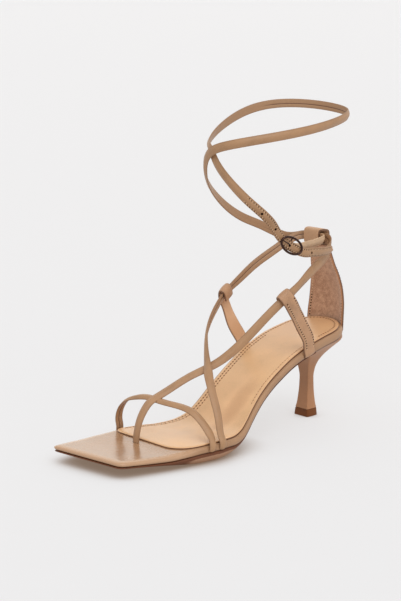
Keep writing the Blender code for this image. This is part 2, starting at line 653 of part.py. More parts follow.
# Channels in the footbed for the straps' ends
slots = (
    ("toe_slot_inner", toe_route, STRAP_WIDTH), ("toe_slot_outer", toe_route[::-1], STRAP_WIDTH),
    ("thong_slot", thong_route, STRAP_WIDTH), ("instep_slot", instep_route, STRAP_WIDTH),
    ("stay_slot_outer", lateral_route, STAY_WIDTH), ("stay_slot_inner", medial_route, STAY_WIDTH),
)
for name, route, width in slots:
    slot = loft(name, strap_rings(route, width, GAP, SLOT_REACH), rand_leather)
    combine(footbed, slot, "DIFFERENCE")

# Ankle strap from the tunnel, twice round the leg, through the buckle to its tail
wrap = tuple(ankle_point(*row) for row in ANKLE_ROWS)
ankle_route = facing(in_tunnel(TUNNEL_BACK_LAYER, ANKLE_IN_TUNNEL) + ANKLE_LEAVES_TUNNEL + wrap)
ankle_route += facing([buckle_point(*row) for row in RUN_ROWS], BUCKLE_FACE)
ankle_route += facing(TAIL_ROWS)
ankle = loft("ankle_strap", strap_rings(ankle_route), strap_leather)

# Buckle strap from the tunnel to the buckle's bar
under_bar = BAR_DEPTH - BAR_WIRE - GAP - STRAP_THICK / 2
hook = [buckle_point(along, 0.0, under_bar) for along in HOOK_ALONG]
buckle_route = facing(in_tunnel(TUNNEL_FRONT_LAYER, BUCKLE_STRAP_IN_TUNNEL) + BUCKLE_STRAP_ROWS)
loft("buckle_strap", strap_rings(buckle_route + facing(hook, BUCKLE_FACE)), strap_leather)

# Buckle frame with its bar bent under the strap, and the prong
along_axis, cross_axis, out_axis = buckle_axes()
oval = []
for k in range(BUCKLE_STEPS):
    angle = 2 * math.pi * k / BUCKLE_STEPS
    oval.append(buckle_point(BUCKLE_LONG * math.cos(angle), BUCKLE_HIGH * math.sin(angle), 0.0))
buckle = loft("buckle_frame", rod_rings(oval, BUCKLE_WIRE, out_axis, True), bronze, True)
bar = [buckle_point(0.0, across, BAR_DEPTH * deep) for across, deep in BAR_ROWS]
bar += [buckle_point(0.0, -across, BAR_DEPTH * deep) for across, deep in reversed(BAR_ROWS)]
combine(buckle, loft("buckle_bar", rod_rings(bar, BAR_WIRE, along_axis), bronze), "UNION")
prong = [buckle_point(along, 0.0, outward) for along, outward in PRONG_ROWS]
loft("buckle_prong", rod_rings(prong, PRONG_WIRE, cross_axis), bronze)
hole = loft("prong_hole", rod_rings(prong, PRONG_WIRE + GAP, cross_axis), bronze)
combine(ankle, hole, "DIFFERENCE")
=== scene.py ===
"""Looks of the strap sandal: leather, suede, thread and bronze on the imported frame.

Tables are in millimetres and the scene is in metres. +X points to the toe, +Y to the outer side.
"""

import math

import bmesh
import bpy
import numpy as np
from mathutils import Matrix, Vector


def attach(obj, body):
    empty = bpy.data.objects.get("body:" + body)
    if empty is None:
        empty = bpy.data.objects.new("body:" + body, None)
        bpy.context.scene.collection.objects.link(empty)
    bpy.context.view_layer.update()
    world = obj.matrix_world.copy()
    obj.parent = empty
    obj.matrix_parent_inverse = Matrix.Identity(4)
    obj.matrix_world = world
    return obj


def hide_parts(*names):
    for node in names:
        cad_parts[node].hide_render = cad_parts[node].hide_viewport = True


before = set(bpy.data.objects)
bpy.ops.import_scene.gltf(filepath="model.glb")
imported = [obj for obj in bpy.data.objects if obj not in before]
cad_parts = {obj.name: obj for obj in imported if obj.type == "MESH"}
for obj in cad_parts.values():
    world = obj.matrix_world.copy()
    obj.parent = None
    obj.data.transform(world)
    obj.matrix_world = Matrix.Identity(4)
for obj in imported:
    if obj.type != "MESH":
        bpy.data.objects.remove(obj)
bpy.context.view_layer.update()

# Footbed
# A shaped board with a thin pad, covered in smooth leather that is drawn round its edge and cemented
# underneath. The cover shows as the rolled rand along the sides and as the bare toe before the sock,
# with a paler painted highlight along the upper part of the roll, strongest over the toe.
MM = 0.001
GAP = 0.3
HEEL_CENTRE = 1.0
HEEL_ROUND = 26.0
TOE_END = 202.4
TOE_SKEW = 0.138
TOE_SKEW_FROM = 150.0
TOE_ROUNDS = (3.0, 4.0)
# Distance from the heel, inner and outer half width, underside of the sole above the floor,
# thickness of the sole at its inner and outer edge, thickness of the footbed
LAST_ROWS = (
    (-25.0, 26.0, 26.0, 60.9, 1.6, 1.6, 6.2),
    (0.0, 25.9, 26.6, 56.8, 1.6, 1.6, 6.2),
    (20.0, 25.6, 28.2, 53.3, 1.6, 1.6, 6.0),
    (40.0, 24.6, 28.8, 47.6, 1.6, 1.6, 5.2),
    (60.0, 22.6, 29.6, 37.7, 1.6, 1.6, 5.0),
    (75.0, 21.2, 31.6, 28.4, 1.7, 1.7, 5.0),
    (87.0, 21.1, 34.4, 18.8, 1.9, 1.9, 5.0),
    (95.0, 22.0, 36.8, 11.8, 2.2, 2.2, 5.1),
    (101.0, 23.0, 38.6, 7.3, 2.8, 2.9, 5.1),
    (110.0, 25.6, 40.6, 2.8, 4.0, 5.2, 5.0),
    (118.0, 28.8, 41.4, 0.8, 4.7, 7.3, 4.8),
    (126.0, 32.4, 41.2, 0.0, 4.9, 7.8, 4.7),
    (138.0, 36.4, 39.8, 0.0, 5.2, 7.6, 4.6),
    (150.0, 38.0, 37.4, 1.0, 4.8, 5.6, 4.4),
    (165.0, 38.4, 34.4, 3.0, 3.1, 3.0, 4.0),
    (185.0, 36.8, 29.8, 4.9, 2.0, 2.0, 3.5),
    (208.0, 33.8, 24.8, 6.6, 1.8, 1.8, 3.2),
)
OUTLINE_STEP = 1.2
STATION_STEP = 1.0
ARC_STEP = 3.0
CORNER_STEP = 5.0
SPINE_IN = (29.0, 34.0)
RAND_ROLL = (0.9, 2.3)
TOE_FULL = 2.1
RAND_STEPS = 15
FOOTBED_LOOPS = 24
RAND_STAINED_AND_SHADED = 4
TOE_POLISH = (140.0, 156.0)
# How far up the roll the painted highlight lies, by the turn round the edge in degrees
ROLL_HIGHLIGHT_TURNS = ((-50.0, 0.0), (-15.0, 1.0), (70.0, 1.0), (90.0, 0.5))
# Share of the painted highlight behind the toe and at the toe, how much paler it makes the cover, and how
# much smoother and glossier the cover is at the toe
ROLL_HIGHLIGHT_SHARE = (0.25, 1.0)
ROLL_HIGHLIGHT_STRENGTH = 0.65
TOE_SMOOTHER = 0.2
TOE_COAT = 0.4
THONG_SLOT = (160.2, -5.0)
# Half size and soft edge of the painted shadow round the thong's slot
SLOT_SHADOW_HALF = (1.3, 3.3)
SLOT_SHADOW_SOFT = (1.1, 0.6)
STAIN_AND_SHADE_SOFT = (0.2, 0.9)
EASE_PER_MM = 2
SAME_PLACE = 1e-7
TINY = 1e-9
# Darkest and lightest shade of a dyed hide, and the span of its clouds
HIDE_SHADES = (0.7, 1.22)
CLOUD_SPAN = (0.3, 0.7)


def read_table(rows, at):
    """The columns of a table at places between its rows, with no overshoot."""
    rows = np.array(rows, float)
    at = np.atleast_1d(np.array(at, float))
    first, rest = rows[:, 0], rows[:, 1:]
    step = np.diff(first)[:, None]
    rise = np.diff(rest, axis=0) / step
    slope = np.vstack((rise[:1], np.zeros_like(rise[1:]), rise[-1:]))
    product = rise[:-1] * rise[1:]
    total = np.where(product > 0, rise[:-1] + rise[1:], 1.0)
    slope[1:-1] = np.where(product > 0, 2 * product / total, 0.0)
    i = np.clip(np.searchsorted(first, at) - 1, 0, len(step) - 1)
    span = step[i]
    t = (at - first[i])[:, None] / span
    near = (1 + 2 * t) * (1 - t) ** 2 * rest[i] + t * (1 - t) ** 2 * span * slope[i]
    far = t * t * (3 - 2 * t) * rest[i + 1] + t * t * (t - 1) * span * slope[i + 1]
    return near + far


def board_bottom(x, y=0.0):
    """Height of the footbed's underside."""
    inner, outer, underside, sole_inner, sole_outer = read_table(LAST_ROWS, x).T[:5]
    share = np.clip((y + inner) / (inner + outer), 0.0, 1.0)
    return underside + sole_inner + share * (sole_outer - sole_inner) + GAP


def board_top(x, y=0.0):
    """Height of the footbed's upper side."""
    return board_bottom(x, y) + read_table(LAST_ROWS, x)[:, 5]


def plan_edges(station, inset=0.0, end=TOE_END, rounds=TOE_ROUNDS):
    """Inner and outer edge of a layer of the sole, set in from the rand."""
    columns = read_table(LAST_ROWS, station)
    behind = np.clip((HEEL_CENTRE - station) / (HEEL_ROUND - inset), 0.0, 1.0)
    share = np.sqrt(1 - behind ** 2)
    cuts = []
    for radius in rounds:
        left = np.clip(end - station, 0.0, radius)
        cuts.append(radius - np.sqrt(radius ** 2 - (radius - left) ** 2))
    return -(columns[:, 0] - inset) * share + cuts[0], (columns[:, 1] - inset) * share - cuts[1]


def even_steps(points, step, closed=False):
    """Points at even distances along a line."""
    points = np.vstack((points, points[:1])) if closed else np.array(points, float)
    run = np.concatenate(([0.0], np.cumsum(np.linalg.norm(np.diff(points, axis=0), axis=1))))
    places = np.linspace(0.0, run[-1], max(2, round(run[-1] / step)) + 1)
    places = places[:-1] if closed else places
    return np.column_stack([np.interp(places, run, column) for column in points.T])


def sole_outline(inset=0.0, end=TOE_END, rounds=TOE_ROUNDS, start=None):
    """Closed plan line of a layer of the sole, counted from the heel along the outer side."""
    arc = HEEL_CENTRE - (HEEL_ROUND - inset) * np.cos(np.radians(np.arange(0.0, 90.0, ARC_STEP)))
    first = HEEL_CENTRE if start is None else start
    front = end - max(rounds)
    turns = np.radians(np.arange(CORNER_STEP, 91.0, CORNER_STEP))
    corner = end - max(rounds) * (1 - np.sin(turns))
    sides = np.arange(first, front, STATION_STEP)
    station = np.concatenate((arc if start is None else [], sides, corner))
    share = np.clip((station - TOE_SKEW_FROM) / (TOE_END - TOE_SKEW_FROM), 0.0, 1.0)
    skew = TOE_SKEW * share * share * (3 - 2 * share)
    inner, outer = plan_edges(station, inset, end, rounds)
    out, back = (np.column_stack((station - skew * y, y)) for y in (outer, inner))
    return even_steps(np.vstack((out, back[::-1])), OUTLINE_STEP, True)


def unit_rows(rows):
    """Rows drawn out or in to the length one."""
    return rows / np.maximum(np.linalg.norm(rows, axis=1), TINY)[:, None]


def drawn_in(loop, distance):
    """A closed plan line moved towards its inside, with its corners eased."""
    run = unit_rows(np.roll(loop, -1, axis=0) - np.roll(loop, 1, axis=0))
    moved = loop + distance * np.column_stack((run[:, 1], -run[:, 0]))
    for _ in range(round(EASE_PER_MM * np.max(distance))):
        moved = (np.roll(moved, 1, axis=0) + 2 * moved + np.roll(moved, -1, axis=0)) / 4
    return moved


def towards_spine(loop, share):
    """A closed plan line drawn together on the sole's middle line."""
    x = np.clip(loop[:, 0], loop[:, 0].min() + SPINE_IN[0], loop[:, 0].max() - SPINE_IN[1])
    inner, outer = plan_edges(x)
    return loop + share * (np.column_stack((x, (inner + outer) / 2)) - loop)


def slab_rings(loop, edge, low, high, loops, swell=1.0):
    """Rings of a layer of the sole: up from its underside's middle, round its edge, over its top.

    The edge is rows of how far in the edge lies and the share of the layer's thickness.
    """
    first, last = (drawn_in(loop, edge[i][0] * swell) for i in (0, -1))
    plan = [(towards_spine(first, 1 - k / loops), 0.0) for k in range(loops)]
    plan += [(drawn_in(loop, cut * swell), level) for cut, level in edge]
    plan += [(towards_spine(last, k / loops), 1.0) for k in range(1, loops + 1)]
    rings = []
    for ring, level in plan:
        bottom = low(*ring.T)
        rings.append(np.column_stack((ring, bottom + (high(*ring.T) - bottom) * level)))
    return np.array(rings)


def rolled_edge(low_roll, roll, steps):
    """Edge rows of a roll, tighter in its lower half."""
    rows = []
    for turn in np.radians(np.linspace(-90.0, 90.0, steps)):
        reach = low_roll if turn < 0 else roll
        rows.append((reach * (1 - math.cos(turn)), 0.5 + 0.5 * math.sin(turn)))
    return rows


def add_object(name, data):
    """New object in the scene."""
    made = bpy.data.objects.new(name, data)
    bpy.context.scene.collection.objects.link(made)
    return made


def skin(name, rings, marks=None, along_closed=False, caps=True):
    """Mesh through rings of points in millimetres, with named values at its points."""
    rings = np.array(rings, float)
    count, around = rings.shape[:2]
    index = np.arange(count * around).reshape(count, around)
    onward = np.roll(index, -1, axis=0) if along_closed else index[1:]
    index_from = index if along_closed else index[:-1]
    quads = np.stack(
        (index_from, np.roll(index_from, -1, axis=1), np.roll(onward, -1, axis=1), onward), axis=-1
    )
    faces = quads.reshape(-1, 4).tolist()
    if caps and not along_closed:
        faces += [index[0][::-1].tolist(), index[-1].tolist()]
    mesh = bpy.data.meshes.new(name)
    mesh.from_pydata((rings.reshape(-1, 3) * MM).tolist(), [], faces)
    for mark, values in (marks or {}).items():
        attribute = mesh.attributes.new(mark, "FLOAT", "POINT")
        attribute.data.foreach_set("value", np.broadcast_to(values, (count, around)).ravel())
    work = bmesh.new()
    work.from_mesh(mesh)
    bmesh.ops.remove_doubles(work, verts=work.verts, dist=SAME_PLACE)
    bmesh.ops.dissolve_degenerate(work, edges=work.edges, dist=SAME_PLACE)
    bmesh.ops.recalc_face_normals(work, faces=work.faces)
    work.to_mesh(mesh)
    work.free()
    mesh.shade_smooth()
    return add_object(name, mesh)


def dress(piece, material, slot, *nodes):
    """Give a piece its material and its place in the frame, and hide the solids that it stands for."""
    piece.data.materials.append(material)
    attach(piece, "root")
    if nodes:
        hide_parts(*nodes)


def join(tree, made, inputs):
    """Set a shader node's inputs, or link them."""
    for name, value in inputs.items():
        if isinstance(value, bpy.types.NodeSocket):
            tree.links.new(value, made.inputs[name])
        else:
            made.inputs[name].default_value = value


def put(tree, kind, inputs=None, **settings):
    """New shader node with its settings and inputs."""
    made = tree.nodes.new(kind)
    for name, value in settings.items():
        setattr(made, name, value)
    join(tree, made, inputs or {})
    return made


def sums(tree, operation, *values):
    """Output of a Math node."""
    return put(tree, "ShaderNodeMath", dict(enumerate(values)), operation=operation).outputs[0]


def blend(tree, share, first, second):
    """Output of a colour Mix node."""
    return put(tree, "ShaderNodeMix", {0: share, 6: first, 7: second}, data_type="RGBA").outputs[2]


def spread(tree, value, low, high, smallest=0.0, largest=1.0):
    """Output of a Map Range node with soft ends."""
    inputs = {"Value": value, 1: low, 2: high, 3: smallest, 4: largest}
    return put(tree, "ShaderNodeMapRange", inputs, interpolation_type="SMOOTHSTEP").outputs[0]


def here(tree):
    """The shaded place in the piece's own directions."""
    return put(tree, "ShaderNodeTexCoord").outputs["Object"]


def noise(tree, scale, detail, roughness=0.5):
    """Output of a Noise node."""
    inputs = {"Vector": here(tree), "Scale": scale, "Detail": detail, "Roughness": roughness}
    return put(tree, "ShaderNodeTexNoise", inputs).outputs["Fac"]


def mark_of(tree, name):
    """A value that the mesh has at its points."""
    return put(tree, "ShaderNodeAttribute", attribute_name=name).outputs["Fac"]


def effect(name, inputs, outputs):
    """New node group with named inputs and outputs: its tree, what it is given and its last node."""
    tree = bpy.data.node_groups.new(name, "ShaderNodeTree")
    for way, sockets in (("INPUT", inputs), ("OUTPUT", outputs)):
        for label, kind in sockets.items():
            tree.interface.new_socket(label, in_out=way, socket_type=f"NodeSocket{kind}")
    return tree, put(tree, "NodeGroupInput").outputs, put(tree, "NodeGroupOutput")


def placed(tree, group, **inputs):
    """Outputs of a node group placed in a material, with its inputs given by name."""
    named = {label.replace("_", " ").title(): value for label, value in inputs.items()}
    return put(tree, "ShaderNodeGroup", named, node_tree=group).outputs


def finish_of(name, **fixed):
    """New material: its node tree and its shader, with the fixed values set on the shader."""
    material = bpy.data.materials.new(name)
    material.use_nodes = True
    tree = material.node_tree
    shader = tree.nodes["Principled BSDF"]
    join(tree, shader, {label.replace("_", " "): value for label, value in fixed.items()})
    return material, tree, shader


def shade(tree, shader, colour, roughness, height, depth):
    """Join colour, roughness and relief to a shader. Depth is the relief's height in millimetres."""
    bump = put(tree, "ShaderNodeBump", {"Height": height, "Distance": depth * MM, "Strength": 1.0})
    join(tree, shader, {"Base Color": colour, "Roughness": roughness, "Normal": bump.outputs[0]})


def tint(red, green, blue):
    """Shader colour of a colour given as seen on a screen, from 0 to 255."""
    shares = [value / 255 for value in (red, green, blue)]
    return (*[s / 12.92 if s < 0.04045 else ((s + 0.055) / 1.055) ** 2.4 for s in shares], 1.0)


# Fine pebbles and pores of a tanned hide
tree, given, out = effect("leather grain", {"Pebble": "Float", "Pores": "Float"}, {"Height": "Float"})
leather_grain = tree
per_mm = sums(tree, "DIVIDE", 1.0 / MM, given["Pebble"])
pebbles = put(tree, "ShaderNodeTexVoronoi", {"Vector": here(tree), "Scale": per_mm}, feature="SMOOTH_F1")
soft = noise(tree, scale=420.0, detail=3.0)
pores = noise(tree, scale=5200.0, detail=1.0)
relief = sums(tree, "MULTIPLY_ADD", pores, given["Pores"], soft)
relief = sums(tree, "SUBTRACT", relief, sums(tree, "MULTIPLY", pebbles.outputs["Distance"], 0.7))
join(tree, out, {"Height": relief})

# Uneven dye: a base colour with darker and lighter clouds
tree, given, out = effect(
    "hide tone",
    {"Colour": "Color", "Dark": "Color", "Light": "Color", "Cloud": "Float", "Amount": "Float"},
    {"Colour": "Color", "Cloud": "Float"},
)
hide_tone = tree
cloud = noise(tree, scale=sums(tree, "DIVIDE", 1.0 / MM, given["Cloud"]), detail=4.0)
fleck = noise(tree, scale=1500.0, detail=2.0)
mixed = sums(tree, "MULTIPLY_ADD", fleck, 0.35, sums(tree, "MULTIPLY", cloud, 0.65))
darker = sums(tree, "MULTIPLY", spread(tree, mixed, 0.52, 0.3), given["Amount"])
lighter = sums(tree, "MULTIPLY", spread(tree, mixed, 0.5, 0.72), given["Amount"])
dyed = blend(tree, darker, given["Colour"], given["Dark"])
join(tree, out, {"Colour": blend(tree, lighter, dyed, given["Light"]), "Cloud": mixed})


def hide_finish(name, colour, cloud, amount, pebble, rough, depth, pores=0.35, **fixed):
    """New material of dyed hide, its tree and shader, and its colour, cloud and gloss to add to.

    Cloud, pebble and depth are sizes in millimetres. Rough is the least and the greatest roughness.
    """
    material, tree, shader = finish_of(name, **fixed)
    colour = tint(*colour)
    dark, light = ((*[min(value * share, 1.0) for value in colour[:3]], 1.0) for share in HIDE_SHADES)
    tone = placed(tree, hide_tone, colour=colour, dark=dark, light=light, cloud=cloud, amount=amount)
    grain = placed(tree, leather_grain, pebble=pebble, pores=pores)
    gloss = spread(tree, tone["Cloud"], *CLOUD_SPAN, *rough)
    shade(tree, shader, tone["Colour"], gloss, grain["Height"], depth)
    return material, tree, shader, (tone["Colour"], tone["Cloud"], gloss)


def oval_mask(tree, place, middle, half):
    """Squared distance from the middle of an oval on the sole, one at its line."""
    away = []
    for axis, centre, reach in zip("XY", middle, half):
        share = sums(tree, "DIVIDE", sums(tree, "SUBTRACT", place[axis], centre * MM), reach * MM)
        away.append(sums(tree, "MULTIPLY", share, share))
    return sums(tree, "ADD", *away)


rand_loop = sole_outline()
rand_edge = rolled_edge(*RAND_ROLL, RAND_STEPS)
full_toe = np.interp(rand_loop[:, :1], TOE_POLISH, (1.0, TOE_FULL))
footbed_rings = slab_rings(rand_loop, rand_edge, board_bottom, board_top, FOOTBED_LOOPS, full_toe)
# The rand's lowest rows are darkened: an edge stain that also paints the shade in the joint with the sole
low_edge_stain_and_shade = np.zeros(len(footbed_rings))
low_edge_stain_and_shade[:FOOTBED_LOOPS + RAND_STAINED_AND_SHADED] = 1.0
# The mark named drawn holds the share of the painted highlight on the upper part of the roll
drawn = np.zeros(len(footbed_rings))
turns = np.linspace(-90.0, 90.0, RAND_STEPS)
drawn[FOOTBED_LOOPS:FOOTBED_LOOPS + RAND_STEPS] = np.interp(turns, *zip(*ROLL_HIGHLIGHT_TURNS))
drawn = drawn[:, None] * np.interp(rand_loop[:, 0], TOE_POLISH, ROLL_HIGHLIGHT_SHARE)
footbed = skin("footbed_cover", footbed_rings, {"low": low_edge_stain_and_shade[:, None], "drawn": drawn}, caps=False)

rand_leather, tree, shader, (colour, cloud, gloss) = hide_finish(
    "rand leather", (160, 121, 88), cloud=14.0, amount=0.5, pebble=0.5, rough=(0.4, 0.5), depth=0.008,
    Coat_Roughness=0.14, Specular_IOR_Level=0.45,
)
place = put(tree, "ShaderNodeSeparateXYZ", {0: here(tree)}).outputs
polish = spread(tree, place["X"], *(reach * MM for reach in TOE_POLISH))
# Painted highlight: the upper part of the roll is blended paler, most over the toe
roll_highlight = sums(tree, "MULTIPLY", mark_of(tree, "drawn"), ROLL_HIGHLIGHT_STRENGTH)
colour = blend(tree, roll_highlight, colour, tint(190, 152, 118))
# Painted shadow: a dark oval round the place where the thong strap goes down into the footbed
slot_shadow = oval_mask(tree, place, THONG_SLOT, SLOT_SHADOW_HALF)
colour = blend(tree, spread(tree, slot_shadow, *SLOT_SHADOW_SOFT), colour, tint(84, 50, 32))
# Edge stain on the rand's lower rows, also standing in as painted shade in the joint with the sole
colour = blend(tree, spread(tree, mark_of(tree, "low"), *STAIN_AND_SHADE_SOFT), colour, tint(88, 54, 34))
gloss = sums(tree, "SUBTRACT", gloss, sums(tree, "MULTIPLY", polish, TOE_SMOOTHER))
coat = sums(tree, "MULTIPLY", polish, TOE_COAT)
join(tree, shader, {"Base Color": colour, "Roughness": gloss, "Coat Weight": coat})
dress(footbed, rand_leather, "rand_leather", "footbed")

# Outsole
# A thin leather sole, skived along the waist and stained dark brown, with the lower part of its edge paler
# under the ball. It is cemented under the footbed from the toe to the front of the heel.
SOLE_INSET = 0.6
SOLE_FRONT_OF_HEEL = 19.8
SOLE_EDGE = ((8.0, 0.0), (5.0, 0.05), (3.0, 0.18), (1.5, 0.38), (0.5, 0.6), (0.0, 0.82), (0.25, 1.0))
SOLE_LOOPS = 12
SOLE_PALE_BAND_ALONG = ((102.0, 0.0), (114.0, 1.0), (140.0, 1.0), (156.0, 0.0))
SOLE_PALE_BAND_UP = ((0.0, 0.0), (0.02, 1.0), (0.6, 1.0), (0.82, 0.0))
SOLE_PALE_BAND_SOFT = (0.1, 0.4)


def sole_bottom(x, y):
    """Height of the sole's underside, which is level across the shoe."""
    return read_table(LAST_ROWS, x)[:, 2]


def sole_top(x, y=0.0):
    """Height of the sole's upper side, against the footbed."""
    return board_bottom(x, y) - GAP


sole_loop = sole_outline(SOLE_INSET, start=SOLE_FRONT_OF_HEEL)
sole_rings = slab_rings(sole_loop, SOLE_EDGE, sole_bottom, sole_top, SOLE_LOOPS)
level = np.zeros(len(sole_rings))
level[SOLE_LOOPS:SOLE_LOOPS + len(SOLE_EDGE)] = [share for inset, share in SOLE_EDGE]
level[SOLE_LOOPS + len(SOLE_EDGE):] = 1.0
pale_band_along = np.interp(sole_loop[:, 0], *zip(*SOLE_PALE_BAND_ALONG))
toned_patch = np.interp(level, *zip(*SOLE_PALE_BAND_UP))[:, None] * pale_band_along
outsole = skin("leather_sole", sole_rings, {"toned_patch": toned_patch}, caps=False)

sole_leather, tree, shader, (colour, cloud, gloss) = hide_finish(
    "sole leather", (104, 58, 30), cloud=9.0, amount=0.7, pebble=0.7, pores=0.6, rough=(0.42, 0.62),
    depth=0.08, Specular_IOR_Level=0.4,
)
# The lower part of the edge under the ball is blended paler
pale_band = spread(tree, sums(tree, "MULTIPLY", mark_of(tree, "toned_patch"), cloud), *SOLE_PALE_BAND_SOFT)
join(tree, shader, {"Base Color": blend(tree, pale_band, colour, tint(166, 126, 98))})
dress(outsole, sole_leather, "sole_leather", "outsole")

# Sock
# A light, glossy leather lining cemented on the footbed and stitched down a little in from its edge, with
# a second row on the inner side. The edge is stained dark, and this dark also stands in as painted shade
# in the gap against the rand. The front is cut in a slanting curve.
SOCK_INSET = 2.6
SOCK_THICK = 1.0
SOCK_END = 154.5
SOCK_ROUNDS = (8.0, 17.0)
SOCK_LOOPS = 30
SOCK_EDGE = ((0.0, -0.3), (0.0, 0.25), (0.1, 0.5), (0.4, 0.8), (1.0, 0.97), (1.8, 1.0), (2.8, 1.0))
SOCK_STAINED_AND_SHADED = 3
SOCK_SKIVED = (115.0, 140.0)
# Where the sock is coloured darker. An oval on the arch: middle and half lengths along and across, pull of
# the clouds, soft edge from outside to inside and how dark. Then painted shadow of the counter on the seat:
# where it starts at the front and how dark
SOCK_DARK_OVAL = ((88.0, 16.0), (26.0, 9.0))
SOCK_DARK_OVAL_CLOUD = 1.6
SOCK_DARK_OVAL_SOFT = (1.9, 0.7)
SOCK_DARK_OVAL_MOST = 0.5
SOCK_SEAT_SHADOW_FRONT = 45.0
SOCK_SEAT_SHADOW_MOST = 0.45
SOCK_RIM_FRONT = 0.3
STITCH_PITCH = 2.1
STITCH_LONG = 1.2
STITCH_PLACES = (-1.0, -0.72, -0.3, 0.3, 0.72, 1.0)
STITCH_RISE = 0.16
STITCH_ARCH = 1.7
STITCH_SUNK = 0.06
THREAD_HALF = 0.24
THREAD_SIDES = 6
THREAD = dict(
    cloud=3.0, amount=0.5, pebble=0.3, pores=0.6, rough=(0.5, 0.65), depth=0.04, Sheen_Weight=0.2
)
# Dark discs painted as the shade in the stitch holes: half size, lift above the surface and number of sides
HOLE_SHADE_HALF = 0.58
HOLE_SHADE_LIFT = 0.05
HOLE_SHADE_SIDES = 8
HOLE_SHADE_FINISH = dict(cloud=4.0, amount=0.6, pebble=0.3, rough=(0.8, 0.9), depth=0.03, Specular_IOR_Level=0.1)
SOCK_PITCH = 2.6
# Seams: how far in, half size of the holes, and from where to where, counted from the heel's back along
# the inner side and, below zero, along the outer side
SOCK_SEAMS = ((3.2, 0.7, 172.0, -38.0), (5.9, 0.64, 166.0, 50.0), (3.0, 0.4, -46.0, -112.0))


def sock_bottom(x, y):
    """Height of the sock's underside."""
    return board_top(x, y) + GAP


def sock_top(x, y):
    """Height of the sock's upper side."""
    return sock_bottom(x, y) + SOCK_THICK


def circle(sides, first, second):
    """Points of a circle of radius one between two directions."""
    turns = 2 * math.pi * np.arange(sides) / sides
    return np.outer(np.cos(turns), first) + np.outer(np.sin(turns), second)


def stitch_rows(name, seams, material, hole_shade_material, pitch=STITCH_PITCH, hole_shade_half=HOLE_SHADE_HALF):
    """Sewn rows along lines of (place, upward direction), with a dark disc painted as the shade of the hole
    where the thread goes in.
    """
    work = bmesh.new()
    for line, up in seams:
        count = max(1, int(np.linalg.norm(np.diff(line, axis=0), axis=1).sum() / pitch))
        both = even_steps(np.hstack((line, up)), pitch)
        places, ups = both[:count, :3], both[:count, 3:]
        runs = np.gradient(both[:, :3], axis=0)[:count]
        for place, rise, run in zip(places, ups, runs):
            rise = rise / np.linalg.norm(rise)
            run = run - (run @ rise) * rise
            run /= max(np.linalg.norm(run), TINY)
            side = np.cross(run, rise)
            thread = THREAD_HALF * circle(THREAD_SIDES, side, rise)
            rings = []
            for t in STITCH_PLACES:
                lift = STITCH_RISE * (1 - STITCH_ARCH * t * t) - STITCH_SUNK
                middle = place + run * t * STITCH_LONG / 2 + rise * lift
                rings.append([work.verts.new(point) for point in (middle + thread) * MM])
            for ring, other in zip(rings, rings[1:]):
                for k in range(THREAD_SIDES):
                    work.faces.new((ring[k], ring[k - 1], other[k - 1], other[k])).smooth = True
            # A dark disc just above the surface, painted as the shade in the thread's hole
            shade_disc_middle = place + run * pitch / 2 + rise * HOLE_SHADE_LIFT
            rim = (shade_disc_middle + hole_shade_half * circle(HOLE_SHADE_SIDES, run, side)) * MM
            work.faces.new([work.verts.new(point) for point in rim[::-1]]).material_index = 1
    mesh = bpy.data.meshes.new(name)
    work.to_mesh(mesh)
    work.free()
    dress(add_object(name, mesh), material, "strap_leather")
    mesh.materials.append(hole_shade_material)


sock_loop = sole_outline(SOCK_INSET, SOCK_END, SOCK_ROUNDS)
sock_rings = slab_rings(sock_loop, SOCK_EDGE, sock_bottom, sock_top, SOCK_LOOPS)
# Dark rim: edge stain, also standing in as painted shade of the gap against the rand
rim = np.zeros(sock_rings.shape[:2])
rim[SOCK_LOOPS:SOCK_LOOPS + SOCK_STAINED_AND_SHADED] = np.interp(sock_loop[:, 0], SOCK_SKIVED, (1.0, SOCK_RIM_FRONT))
rim[SOCK_LOOPS:SOCK_LOOPS + SOCK_STAINED_AND_SHADED - 1] = 1.0
insole = skin("sock", sock_rings, {"rim": rim}, caps=False)

sock_leather, tree, shader, (colour, cloud, gloss) = hide_finish(
    "sock leather", (222, 178, 132), cloud=20.0, amount=0.5, pebble=0.4, pores=0.2, rough=(0.3, 0.42),
    depth=0.02, Coat_Weight=0.15, Coat_Roughness=0.22, Specular_IOR_Level=0.4,
)
place = put(tree, "ShaderNodeSeparateXYZ", {0: here(tree)}).outputs
# A darker oval on the arch's outer side, with a cloudy edge
away = oval_mask(tree, place, *SOCK_DARK_OVAL)
away = sums(tree, "MULTIPLY_ADD", cloud, SOCK_DARK_OVAL_CLOUD, away)
toned_patch = spread(tree, away, *SOCK_DARK_OVAL_SOFT, 0.0, SOCK_DARK_OVAL_MOST)
# Painted shadow of the counter: the seat darkens towards the back of the heel
seat = spread(tree, place["X"], SOCK_SEAT_SHADOW_FRONT * MM, 0.0, 0.0, SOCK_SEAT_SHADOW_MOST)
colour = blend(tree, sums(tree, "MAXIMUM", seat, toned_patch), colour, tint(190, 140, 98))
# The rim's dark colour is an edge stain and a painted shade of the gap against the rand
join(tree, shader, {"Base Color": blend(tree, mark_of(tree, "rim"), colour, tint(110, 68, 42))})
dress(insole, sock_leather, "sock_leather", "insole")

